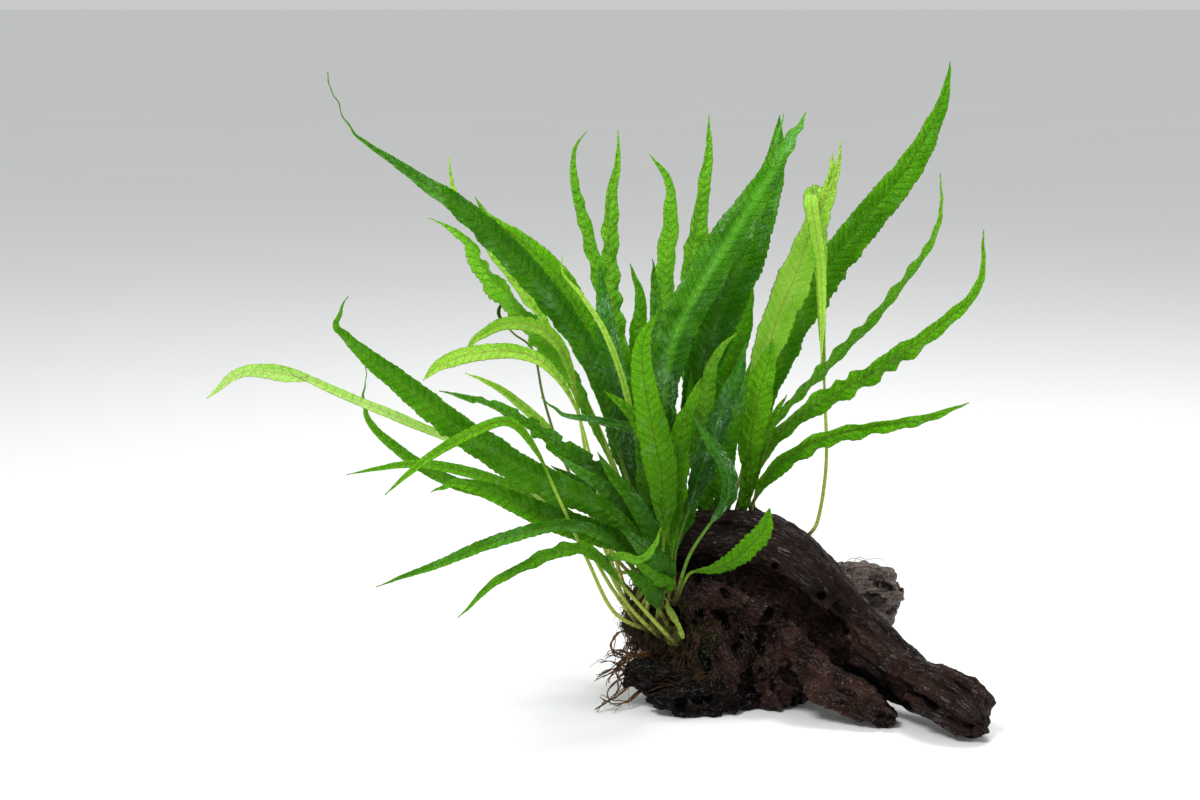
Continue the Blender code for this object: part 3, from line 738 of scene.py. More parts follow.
@dataclass(frozen=True)
class Limb:
    """A length of wood through sections of (x, y, z, half across, half up)."""

    sections: tuple
    grain: float = 0.9  # depth of the ridges along it
    pitch: float = 4.0  # width of the ridges
    rough: float = 0.2  # 0 worn smooth, 1 pitted all over
    tint: float = 0.2  # share of red-brown
    upright: bool = False

    def pieces(self) -> list[tuple]:
        """Straight stretches of the limb with the directions across and up each."""
        route = Route([(*s, s[3]) if len(s) == 4 else s for s in self.sections])
        stations = np.linspace(0, route.length, len(self.sections) * 2)
        line = route.at(stations)
        found = []
        for a, b in zip(line, line[1:]):
            way = unit(b[:3] - a[:3])
            high = across(way, FRONT if self.upright else UP)
            found.append((a, b, way, high, np.cross(way, high)))
        return found

    def measure(self, points: np.ndarray) -> tuple[np.ndarray, np.ndarray]:
        """How far points are from the limb's skin, and where they are on its grain.

        Args:
            points: Places in millimetres.

        Returns:
            The distance of each, negative inside, and its place along the grain.
        """
        nearest = np.full(len(points), 1e3)
        grain = np.zeros((len(points), 3))
        run = 0.0
        for a, b, way, high, side in self.pieces():
            length = np.linalg.norm(b[:3] - a[:3])
            room = np.abs(b[:3] - a[:3]) / 2 + max(a[3], a[4], b[3], b[4]) + FAR
            close = np.all(np.abs(points - (a[:3] + b[:3]) / 2) < room, axis=1).nonzero()[0]
            off = points[close] - a[:3]
            share = np.clip(off @ way / length, 0, 1)
            off -= share[:, None] * (way * length)
            wide = a[3] + (b[3] - a[3]) * share
            tall = a[4] + (b[4] - a[4]) * share
            small = np.minimum(wide, tall)
            x, y, z = off @ side, off @ way, off @ high
            reach = np.sqrt((x / wide) ** 2 + (z / tall) ** 2 + (y / small) ** 2)
            distance = (reach - 1) * small
            closer = distance < nearest[close]
            nearest[close[closer]] = distance[closer]
            spread = np.maximum(np.hypot(x, z), 1e-6)
            place = np.stack([x / spread * small, z / spread * small,
                              (run + share * length) * GRAIN_STRETCH], axis=-1)
            grain[close[closer]] = place[closer]
            run += length
        return nearest, grain


class Clay:
    """A solid kept as signed distances on a grid, in millimetres, and meshed at the end."""

    def __init__(self, low: tuple, high: tuple, pitch: float, seed: int) -> None:
        """Start with nothing.

        Args:
            low: The grid's lowest corner.
            high: Its highest corner.
            pitch: The spacing of the grid.
            seed: The seed of its noise.
        """
        self.low = np.array(low, float)
        self.pitch = pitch
        self.shape = tuple(np.ceil((np.array(high) - self.low) / pitch).astype(int) + 1)
        self.field = np.full(self.shape, FAR)
        self.rough = np.zeros(self.shape)
        self.noise = Noise(seed)
        self.limbs: list[Limb] = []

    def window(self, sections: tuple) -> tuple[tuple, np.ndarray]:
        """The part of the grid around some sections, as slices and as its points."""
        knots = np.array([s[:3] for s in sections])
        room = max(max(s[3:]) for s in sections) + FAR
        first = np.floor((knots.min(0) - room - self.low) / self.pitch).astype(int)
        last = np.ceil((knots.max(0) + room - self.low) / self.pitch).astype(int)
        part = tuple(slice(max(a, 0), min(b, n)) for a, b, n in zip(first, last, self.shape))
        axes = [np.arange(s.start, s.stop) * self.pitch + o for s, o in zip(part, self.low)]
        return part, np.stack(np.meshgrid(*axes, indexing="ij"), axis=-1).reshape(-1, 3)

    def add(self, limb: Limb) -> None:
        """Grow a limb into the solid, with a fillet where they meet."""
        self.limbs.append(limb)
        part, points = self.window(limb.sections)
        distance, grain = limb.measure(points)
        near = distance < 6
        ridges = self.noise.fractal(grain[near] / limb.pitch + len(self.limbs), 3)
        distance[near] += limb.grain * ridges
        distance = distance.reshape(self.field[part].shape)
        old = self.field[part]
        share = np.clip(0.5 + 0.5 * (old - distance) / LIMB_FILLET, 0, 1)
        self.field[part] = old + (distance - old) * share - LIMB_FILLET * share * (1 - share)
        self.rough[part] += (limb.rough - self.rough[part]) * share

    def cut(self, sections: tuple) -> None:
        """Take a groove or a hole out of the solid, through sections of (x, y, z, radius)."""
        part, points = self.window(sections)
        wander = self.noise.fractal(points / 4.0, 2) * 0.7
        distance = -(Limb(sections).measure(points)[0] + wander).reshape(self.field[part].shape)
        old = self.field[part]
        share = np.clip(0.5 - 0.5 * (old - distance) / CUT_FILLET, 0, 1)
        self.field[part] = old + (distance - old) * share + CUT_FILLET * share * (1 - share)

    def weather(self, lump: float, pits: float) -> None:
        """Roughen the skin.

        Args:
            lump: Height of the broad lumps.
            pits: Depth of the small pits.
        """
        band = np.nonzero(np.abs(self.field) < 3.5)
        points = np.stack(band, axis=-1) * self.pitch + self.low
        rough = self.rough[band]
        change = lump * (0.15 + rough) * self.noise.fractal(points / 7.0, 2)
        change += (0.03 + 0.8 * rough) * self.noise.fractal(points / 2.6 + 40, 3)
        holes = np.maximum(self.noise.at(points / 3.4 + 80) - 0.40, 0)
        self.field[band] += change + pits * (0.03 + rough) * holes * 2.6

    def rest_on(self, height: float) -> None:
        """Cut the solid off flat at a height, where it stands."""
        level = np.arange(self.shape[2]) * self.pitch + self.low[2]
        self.field = np.maximum(self.field, (height - level)[None, None, :])

    def sample(self, points: np.ndarray) -> np.ndarray:
        """The signed distance at points."""
        place = np.rint((points - self.low) / self.pitch).astype(int)
        place = np.clip(place, 0, np.array(self.shape) - 1)
        return self.field[tuple(place.T)]

    def build(self, name: str) -> bpy.types.Object:
        """Mesh the solid.

        Args:
            name: The name of the piece.

        Returns:
            The piece, which keeps its grain, roughness, tint and hollows, the last for painted shade.
        """
        grid = openvdb.FloatGrid(background=FAR)
        grid.copyFromArray(self.field.astype(np.float32))
        points, quads = grid.convertToQuads(isovalue=0.0)
        points = points * self.pitch + self.low
        made = make_object(name, points, quads[:, ::-1].tolist())
        bm = bmesh.new()
        bm.from_mesh(made.data)
        self.drop_crumbs(bm)
        bmesh.ops.recalc_face_normals(bm, faces=bm.faces)
        bm.to_mesh(made.data)
        bm.free()
        self.describe(made)
        return made

    def drop_crumbs(self, bm: bmesh.types.BMesh) -> None:
        """Remove every loose shell but the largest."""
        unseen = set(bm.verts)
        shells = []
        while unseen:
            edge = [unseen.pop()]
            shell = list(edge)
            while edge:
                found = {e.other_vert(v) for v in edge for e in v.link_edges} & unseen
                unseen -= found
                edge = list(found)
                shell += edge
            shells.append(shell)
        shells.sort(key=len)
        for shell in shells[:-1]:
            bmesh.ops.delete(bm, geom=shell, context="VERTS")

    def describe(self, made: bpy.types.Object) -> None:
        """Keep what the wood finish reads on the piece's points."""
        count = len(made.data.vertices)
        place, normal = np.empty(count * 3), np.empty(count * 3)
        made.data.vertices.foreach_get("co", place)
        made.data.vertices.foreach_get("normal", normal)
        place, normal = place.reshape(-1, 3) / MM, normal.reshape(-1, 3)
        nearest = np.full(count, 1e3)
        grain = np.zeros((count, 3))
        rough, tint = np.zeros(count), np.zeros(count)
        for limb in self.limbs:
            distance, along = limb.measure(place)
            closer = distance < nearest
            nearest[closer], grain[closer] = distance[closer], along[closer]
            rough[closer], tint[closer] = limb.rough, limb.tint
        # how enclosed each point is, for the painted shade in its hollows
        hollow_shade = np.zeros(count)
        for reach, share in HOLLOW_REACHES:
            clear = np.clip(self.sample(place + normal * reach) / (reach * 0.9), 0, 1)
            hollow_shade += share * (1 - clear)
        give(made, "grain", grain * MM)
        give(made, "rough", rough)
        give(made, "tint", tint)
        give(made, "hollow_shade", ease(hollow_shade, 0.10, 0.72))


class Driftwood:
    """The forked piece of wood that the fern grows on."""

    trunk = Limb(((0, 0, -2, 23, 28), (0, -1, 3, 25, 31), (0, -2, 10, 23, 31), (-1, -2, 20, 23, 30),
                  (-4, -2, 30, 26, 28), (-9, -1, 40, 28, 25), (-13, 0, 50, 26, 22),
                  (-14, 1, 57, 22, 18)), 1.6, 4.5, 1.0, 0.55, True)
    hump = Limb(((-42, 1, 67, 8, 7), (-39, 1, 67, 17, 12), (-32, 1, 67, 21, 15),
                 (-18, 2, 66, 23, 17), (-3, 2, 64, 24, 18), (10, 1, 58, 23, 18),
                 (21, -3, 49, 21, 17), (31, -9, 40, 17, 15), (38, -14, 34, 12, 11)), 1.3, 3.4)
    arm = Limb(((28, -8, 41, 11, 10), (39, -17, 33, 13, 12), (50, -28, 25, 12, 11),
                (59, -38, 19, 11, 10), (70, -52, 16, 11, 11), (79, -62, 15, 12, 12),
                (86, -70, 11, 11, 11), (90, -74, 8, 7, 6)), 2.3, 3.8, 0.35, 0.35)
    fork = Limb(((8, -27, 22, 9, 9), (18, -37, 20, 9, 10), (28, -44, 15, 9, 9),
                 (38, -49, 12, 8, 8), (46, -53, 9, 7, 7), (53, -56, 6, 5, 5)), 2.2, 4.2, 0.85, 0.95)
    strands = (
        Limb(((-39, -4, 77, 4), (-27, -5, 80, 4), (-7, -7, 79, 5), (14, -9, 68, 5),
              (34, -12, 53, 5), (48, -19, 38, 5), (62, -29, 26, 5), (80, -45, 13, 5)), 0.9, 2.6),
        Limb(((-38, -13, 70, 5), (-18, -15, 72, 6), (4, -16, 64, 6), (24, -17, 50, 6),
              (40, -23, 33, 6), (56, -35, 22, 6), (77, -52, 12, 6)), 1.2, 2.8),
        Limb(((-38, -15, 65, 4), (-18, -17, 63, 6), (2, -18, 56, 6), (18, -18, 46, 6),
              (30, -21, 34, 5)), 0.8, 3.5, 0.4, 0.3),
        Limb(((30, -20, 45, 5), (34, -20, 42, 7), (44, -25, 31, 8), (60, -39, 20, 8),
              (78, -57, 12, 8), (87, -69, 10, 7)), 1.3, 3.4, 0.35, 0.4),
        Limb(((-36, 14, 74, 5), (-10, 18, 74, 6), (12, 15, 66, 6), (28, 5, 50, 6),
              (45, -12, 34, 6)), 0.8, 3.5),
        Limb(((-30, 18, 60, 6), (-5, 20, 56, 7), (15, 17, 48, 6)), 0.9, 3.5, 0.4, 0.3),
        Limb(((18, -18, 33, 9), (28, -20, 27, 9), (37, -25, 22, 8), (43, -30, 18, 5)),
             1.2, 3.5, 0.8, 0.5),
    )
    drips = (
        Limb(((-36, -14, 56, 6), (-24, -21, 52, 8), (-4, -23, 46, 8), (12, -22, 40, 7)),
             1.5, 3.8, 1.0, 0.6),
        Limb(((-32, -20, 50, 7), (-24, -25, 34, 8), (-16, -28, 21, 9), (-13, -29, 10, 9),
              (-12, -27, 4, 7)), 1.5, 3.8, 1.0, 0.6),
        Limb(((-9, -24, 40, 7), (-2, -28, 27, 8), (3, -30, 17, 9), (6, -29, 8, 8)),
             1.5, 3.8, 1.0, 0.75),
        Limb(((12, -24, 34, 6), (18, -29, 24, 7), (26, -36, 16, 7)), 1.5, 3.8, 1.0, 0.9),
        Limb(((-25, 16, 50, 8), (-22, 21, 30, 8), (-18, 23, 10, 8)), 0.9, 5.0, 1.0, 0.5),
        Limb(((0, 20, 45, 8), (4, 23, 25, 8), (6, 24, 6, 8)), 0.9, 5.0, 1.0, 0.5),
        Limb(((18, 13, 38, 7), (20, 15, 20, 8), (16, 16, 6, 8)), 0.9, 5.0, 1.0, 0.5),
    )
    cuts = (  # grooves and holes, each through sections of (x, y, z, radius)
        ((-37, -18.5, 64, 3.2), (-27, -21, 63, 5.2), (-18, -22.5, 61, 6.2), (-7, -23, 59, 6.6),
         (2, -23, 56.5, 6.6), (11, -23.5, 50, 6.6), (18, -24.5, 43, 6.8), (24, -25, 38, 8),
         (30, -25.5, 33, 9), (35, -28, 28, 7)),
        ((29, -24, 53, 1.8), (35, -25, 47, 3.2), (40, -27.5, 42.5, 3.2), (46, -31, 38.5, 2.4),
         (53, -37, 33, 1.4)),
        ((4, -31, 35, 1.6), (7, -36, 28, 2.9), (9.5, -41, 21.5, 3.9), (13, -44, 16, 4),
         (18, -47.5, 10, 3.6)),
        ((-5, -35, 25, 1.4), (-6, -36.5, 18, 2.6), (-7, -37, 11, 3.8), (-8, -37, 3, 4.6)),
        ((-36, -23, 37, 4), (-32, -26, 28, 7), (-28, -29, 20, 6)),
        ((-25, -31, 47, 1.6), (-19, -36, 35, 2.2), (-17, -39, 24, 2.6), (-19, -39, 14, 2.2)),
        ((3, -28, 46, 1.8), (0, -31, 38, 2.6), (-1, -34, 30, 2)),
        ((-20, -28, 57, 1.6), (-14, -31, 50, 2.4), (-12, -33, 42, 2)),
        ((-9, -35, 34, 2.2), (-9, -30, 34, 1.6)),
        ((-8, -27, 51, 2.0), (-8, -22, 51, 1.4)),
        ((6, -25, 64, 2.2), (6, -20, 63, 1.6)),
        ((-27, -34, 44, 2.2), (-27, -29, 44, 1.4)),
        ((27, -27, 50, 1.6), (27, -22, 50, 1.2)),
        ((95, -79, 16, 5), (99, -76, 14, 5)),
        ((50, -49, 18, 3.4), (57, -56, 15, 4)),
        ((55, -63, 13, 2.8), (61, -58, 9, 2.4)),
        ((22, -47, 27, 2.4), (31, -52, 23, 1.8), (36, -56, 18, 1.4)),
        ((40, -36, 27, 1.4), (52, -49, 21, 2), (66, -62, 17, 1.6), (76, -73, 14, 1.2)),
    )
    stub = (
        Limb(((20, 10, 44, 9, 9), (36, 24, 39, 10, 13), (48, 35, 35, 11, 15), (60, 44, 32, 10, 14),
              (66, 48, 31, 6, 9)), 2.2, 3.6, 0.9, 0.4),
        Limb(((38, 20, 50, 4), (52, 30, 49, 4), (64, 38, 43, 4)), 1.4, 2.5, 0.8, 0.3),
        Limb(((42, 20, 38, 4), (56, 30, 36, 5), (67, 40, 33, 4)), 1.4, 2.5, 0.8, 0.3),
        Limb(((40, 24, 24, 4), (55, 33, 21, 4), (64, 40, 22, 3)), 1.4, 2.5, 0.8, 0.3),
    )
    stub_cuts = (
        ((52, 22, 40, 2.4), (60, 28, 31, 3.0), (64, 31, 26, 2.0)),
        ((44, 18, 31, 2.0), (56, 26, 27, 1.6)),
    )
    left_lobe = Limb(((-18, -18, 17, 8, 8), (-30, -23, 16, 9, 9), (-42, -26, 15, 8, 8),
                      (-51, -27, 15, 7, 7), (-56, -27, 15, 5, 5)), 1.3, 3.0, 0.8, 0.1)
    foot_lobe = Limb(((-10, -26, 8, 8, 7), (-24, -35, 8, 8, 7), (-36, -38, 7, 7, 6),
                      (-44, -38, 7, 5, 4), (-48, -37, 7, 2, 2)), 1.6, 3.4, 1.0, 0.2)

    def build(self) -> list[bpy.types.Object]:
        """Build, dress and attach every piece of wood."""
        clay = Clay((-56, -92, -3), (106, 42, 92), pitch=0.8, seed=11)
        for limb in (self.trunk, self.hump, self.arm, self.fork, *self.strands, *self.drips):
            clay.add(limb)
        for cut in self.cuts:
            clay.cut(cut)
        clay.weather(1.2, 0.8)
        clay.rest_on(0.05)
        body = self.dress(clay.build("driftwood"), Finish.WOOD)
        hand_in(body, "wood_dark", "driftwood_hump", "driftwood_lower_trunk",
                "driftwood_long_arm", "driftwood_short_fork")
        clay = Clay((10, 0, 10), (80, 66, 64), pitch=0.7, seed=23)
        for limb in self.stub:
            clay.add(limb)
        for cut in self.stub_cuts:
            clay.cut(cut)
        clay.weather(1.0, 1.0)
        stub = self.dress(clay.build("back_stub"), Finish.STUB)
        hand_in(stub, "wood_brown", "driftwood_back_stub")
        lobes = [self.lobe("left_lobe", self.left_lobe, "driftwood_left_lobe", 31),
                 self.lobe("foot_lobe", self.foot_lobe, "driftwood_foot_lobe", 37)]
        return [body, stub, *lobes]

    def lobe(self, name: str, limb: Limb, node: str, seed: int) -> bpy.types.Object:
        """One of the two lobes low on the left."""
        knots = np.array([s[:3] for s in limb.sections])
        clay = Clay(tuple(knots.min(0) - 14), tuple(knots.max(0) + 14), pitch=0.65, seed=seed)
        clay.add(limb)
        clay.weather(2.0, 1.0)
        clay.rest_on(0.05)
        return hand_in(self.dress(clay.build(name), Finish.BLACK), "wood_dark", node)

    def dress(self, made: bpy.types.Object, finish: Finish) -> bpy.types.Object:
        """Give a piece of wood its finish."""
        made.data.materials.append(material(finish))
        return made


def material(kind: Tone | Finish) -> bpy.types.Material:
    """The material of a finish, made once."""
    if kind not in MADE:
        MADE[kind] = kind.value.material()
    return MADE[kind]


MADE: dict[Enum, bpy.types.Material] = {}


# ---------------------------------------------------------------- creeping stems and roots


@dataclass(frozen=True)
class Rhizome:
    """A creeping stem, with the stalks of the fronds seated on its skin."""

    name: str
    spine: tuple
    first_radius: float
    last_radius: float
    zero: tuple  # the side that an angle around the stem is counted from
    finish: Finish
    fuzz: float = 1.0
    girth: float = 1.0  # how thick it shows, as a share of the radius that stalks are seated on

    def radius(self, share: np.ndarray) -> np.ndarray:
        """The stem's radius at shares of its length."""
        swell = self.first_radius + (self.last_radius - self.first_radius) * share
        return swell * (1 + 0.08 * np.sin(share * 19))

    def seat(self, share: float, around: float) -> tuple[np.ndarray, np.ndarray]:
        """Where a stalk leaves the stem.

        Args:
            share: Share along the stem.
            around: Degrees around it.

        Returns:
            A point inside the stem, and the stalk's foot just off its skin.
        """
        route = Route(self.spine)
        distance = np.array([share * route.length])
        way = route.ways(distance)
        high = turned(across(way, np.array(self.zero, float)), way, np.radians([-around]))
        reach = self.radius(share) + SEAT_GAP
        centre = route.at(distance)[0]
        return centre + high[0] * reach * 0.3, centre + high[0] * reach

    def build(self) -> bpy.types.Object:
        """Build, dress and attach the stem."""
        route = Route(self.spine)
        stations = np.linspace(0, route.length, STEM_RINGS)
        share = stations / route.length
        centre, way = route.at(stations), route.ways(stations)
        high = across(way, np.array(self.zero, float))
        side = np.cross(way, high)
        end = np.minimum(share, 1 - share) * route.length / self.first_radius
        cap = np.sqrt(np.clip(end * (2 - np.clip(end, 0, 1)), 0.02, 1))
        radius = self.girth * self.radius(share) * cap
        turn = np.linspace(0, math.tau, STEM_SIDES, endpoint=False)
        out = side[:, None] * np.cos(turn)[None, :, None] + high[:, None] * np.sin(turn)[None, :, None]
        noise = Noise(5)
        flat = (centre[:, None] + out * radius[:, None, None]).reshape(-1, 3)
        knobs = 1 + 0.16 * noise.fractal(flat / 3.2, 3).reshape(STEM_RINGS, STEM_SIDES)
        knobs += 0.10 * np.sin(stations / 1.7)[:, None]
        rings = centre[:, None] + out * (radius[:, None] * knobs)[..., None]
        points, faces = loft(rings)
        made = make_object(self.name + "_grown", points, faces)
        give(made, "fuzz", np.full(len(points), self.fuzz))
        made.data.materials.append(material(self.finish))
        return hand_in(made, "rhizome_green", self.name)


class Roots:
    """The dark mat under the front stem, and every root that leaves it or clings to the wood."""

    mat = Limb(((-36, -20, 26, 6, 6), (-43, -15, 27, 8, 9), (-50, -5, 29, 8, 10),
                (-51, 6, 33, 8, 10), (-47, 15, 39, 7, 8), (-44, 20, 44, 4, 4)), 1.4, 2.6, 1.0, 0.3)
    wiry = (
        ((-47, -20, 24), (-54, -24, 24), (-60, -28, 23), (-65, -30, 25), (-67, -31, 30),
         (-65, -30, 34), (-61, -29, 35), (-59, -28, 31), (-62, -28, 26), (-68, -29, 24)),
        ((-48, -18, 21), (-56, -23, 18), (-63, -27, 20), (-68, -30, 22), (-73, -33, 22)),
        ((-48, -21, 19), (-55, -24, 22), (-62, -27, 26), (-67, -29, 27), (-70, -32, 24)),
        ((-49, -22, 15), (-56, -26, 12), (-61, -29, 9), (-67, -33, 6), (-71, -35, 3), (-74, -36, 1)),
        ((-50, -22, 17), (-57, -26, 16), (-64, -29, 13), (-68, -32, 9), (-67, -34, 4)),
        ((-50, -24, 11), (-56, -28, 5), (-61, -32, 3), (-67, -34, 4), (-72, -36, 8)),
        ((-49, -21, 22), (-57, -25, 24), (-63, -27, 20), (-67, -28, 16), (-73, -31, 15)),
        ((-51, -21, 13), (-58, -24, 13), (-63, -27, 17), (-70, -29, 17), (-74, -30, 13)),
        ((-52, -8, 24), (-60, -10, 18), (-64, -12, 11), (-63, -14, 5), (-66, -17, 2)),
        ((-52, 4, 26), (-59, 5, 19), (-61, 5, 11), (-66, 4, 6), (-68, 1, 2)),
        ((-47, 14, 30), (-54, 17, 23), (-56, 19, 14), (-60, 19, 8), (-60, 22, 2)),
        ((-40, 20, 38), (-38, 27, 30), (-40, 31, 20), (-37, 33, 12), (-40, 35, 4)),
    )
    clinging = (
        ((-29, -31, 38), (-31, -34, 31), (-31, -36, 24), (-28, -38, 16), (-29, -39, 10)),
        ((-27, -30, 40), (-29, -35, 30), (-27, -38, 20), (-24, -39, 13)),
        ((-33, -31, 36), (-34, -34, 28), (-35, -35, 20), (-33, -38, 13)),
        ((-52, -32, 8), (-45, -36, 12), (-37, -38, 15), (-28, -40, 17), (-20, -41, 18)),
        ((-50, -30, 16), (-42, -35, 18), (-34, -36, 19), (-26, -38, 16)),
        ((-36, -28, 27), (-40, -33, 22), (-46, -34, 18), (-52, -33, 12)),
        ((-30, 24, 70), (-22, 26, 62), (-16, 27, 52), (-18, 30, 40), (-14, 31, 28)),
        ((-8, 27, 70), (-2, 27, 60), (-4, 29, 48), (2, 31, 36), (0, 32, 22)),
        ((8, 26, 66), (16, 22, 58), (22, 18, 48), (30, 17, 38), (34, 16, 30)),
    )

    stray = (
        ((10, -16, 74), (14, -18, 77), (19, -18, 78), (24, -16, 76)),
        ((40, 16, 54), (45, 17, 58), (50, 17, 57), (53, 19, 54)),
        ((44, 19, 54), (48, 20, 57), (54, 22, 56), (59, 24, 55), (62, 26, 51)),
    )
    mat_hairs = 620  # short roots wound about the mat
    stem_hairs = 330  # short roots wound about the front stem
    stem_reach = (6, 6, 6.5, 6, 5.5, 5)  # how far out those lie at each point of the stem

    def build(self, tree: bpy.types.NodeTree) -> None:
        """Build, dress and attach the mat and the roots.

        Args:
            tree: The tree that turns lines into tubes.
        """
        clay = Clay((-66, -34, 12), (-26, 34, 58), pitch=0.65, seed=41)
        clay.add(self.mat)
        clay.weather(2.4, 2.0)
        made = clay.build("root_mat_grown")
        give(made, "fuzz", np.ones(len(made.data.vertices)))
        made.data.materials.append(material(Finish.MAT))
        hand_in(made, "root_brown", "root_mat")
        draw = np.random.default_rng(19)
        lines, clinging = [], []
        for kept, routes, copies, thick, loose in ((lines, self.wiry, 3, 0.62, 0.8),
                                                   (clinging, self.clinging, 5, 0.3, 1.8)):
            for route in routes:
                for copy in range(copies):
                    shift = draw.normal(0, loose, (len(route), 3)) * min(copy, 1)
                    moved = np.array(route) + shift * (1, 0.4, 1)
                    kept.append(self.strand(tuple(moved), thick * draw.uniform(0.6, 1), draw))
        for route in self.wiry[:8]:
            lines += self.side_roots(route, 3, draw)
        self.tubes("wiry_roots", lines, tree, Finish.RED_ROOT)
        tangle = self.tangle(Route(self.mat.sections), self.mat_hairs, 1.0, draw)
        spine = [(*point, reach) for point, reach in zip(FRONT_RHIZOME.spine, self.stem_reach)]
        tangle += self.tangle(Route(spine), self.stem_hairs, 1.25, draw)
        self.tubes("matted_roots", tangle + clinging, tree, Finish.ROOT)
        stray = [self.strand(route, 0.2, draw) for route in self.stray]
        self.tubes("stray_roots", stray, tree, Finish.ROOT)

    def strand(self, route: tuple, thick: float, draw: np.random.Generator) -> np.ndarray:
        """One root along a route, thinner and more crooked towards its tip.

        Args:
            route: The points it goes through.
            thick: Its radius at the start.
            draw: Where its random numbers come from.

        Returns:
            Its points, each with a radius.
        """
        line = Route(route)
        stations = np.arange(0, line.length, 0.8)
        points = line.at(stations)
        noise = Noise(int(draw.integers(1 << 30)))
        share = stations / line.length
        for axis in range(3):
            points[:, axis] += noise.along(stations / 4.5, axis * 9.1) * (0.3 + 1.0 * share)
            points[:, axis] += noise.along(stations / 1.4, axis * 5.7 + 50) * 0.22
        radius = thick * (1 - 0.65 * share) * (1 + 0.25 * noise.along(stations / 2.0, 90))
        points[:, 2] = np.maximum(points[:, 2], radius + 0.1)
        return np.column_stack([points, np.maximum(radius, 0.07)])

    def side_roots(self, route: tuple, count: int, draw: np.random.Generator) -> list:
        """Thin roots that leave another along its way."""
        line = Route(route)
        found = []
        for _ in range(count):
            start = line.length * draw.uniform(0.3, 0.9)
            way = line.ways(np.array([start]))[0]
            out = unit(way * 0.7 + draw.normal(0, 0.6, 3))
            foot = line.at(np.array([start]))[0]
            reach = draw.uniform(4, 9)
            bend = np.array((0, 0, -0.25 * reach))
            points = (foot, foot + out * reach * 0.5, foot + out * reach + bend)
            found.append(self.strand(points, 0.15, draw))
        return found

    def tangle(self, line: Route, count: int, spread: float, draw: np.random.Generator) -> list:
        """Many short roots wound about a stem or the mat.

        Args:
            line: The middle of what they wind about, with its radius.
            count: How many.
            spread: How far out they lie, as a share of that radius.
            draw: Where their random numbers come from.

        Returns:
            Each root's points with their radii.
        """
        found = []
        for _ in range(count):
            start = np.array([draw.uniform(0.0, 1.0) * line.length])
            section, way = line.at(start)[0], line.ways(start)
            high = across(way, UP)
            turn = draw.uniform(0, math.tau)
            out = turned(high, way, np.array([turn]))[0]
            reach = section[3] * spread * draw.uniform(0.8, 1.1)
            foot = section[:3] + out * reach
            swing = unit(np.cross(way[0], out) * draw.choice((-1, 1)) + way[0] * draw.normal(0, 0.7))
            points = [foot]
            for step in range(1, 5):
                drop = np.array((0, 0, -0.5 * step))
                lift = out * reach * (0.12 + 0.1 * draw.uniform(-1, 1.6) * step)
                points.append(foot + swing * 2.6 * step + lift + drop - out * 0.55 * step**1.5)
            found.append(self.strand(tuple(points), draw.uniform(0.12, 0.26), draw))
        return found

    def tubes(self, name: str, lines: list, tree: bpy.types.NodeTree, finish: Finish) -> None:
        """Turn lines with radii into one piece of tubes and attach it."""
        points = np.vstack(lines)
        edges, start = [], 0
        for line in lines:
            edges += [(start + k, start + k + 1) for k in range(len(line) - 1)]
            start += len(line)
        made = make_object(name, points[:, :3], [], edges)
        give(made, "thick", points[:, 3] * MM)
        hand_in(grow(made, tree, material(finish), Sides=5), "root_brown")


# ---------------------------------------------------------------- fronds


@dataclass(frozen=True)
class Rings:
    """The rings of a frond or of a second tip, from its foot to its tip."""

    stations: np.ndarray  # distance of each ring along the line
    blade: np.ndarray  # share of the blade at each, below 0 on the stalk
    stalk: np.ndarray  # half the stalk's thickness at each
    leafy: np.ndarray  # how flat each is, from 0 to 1
    u: np.ndarray  # places across every ring, from -1 to 1
    noise: Noise


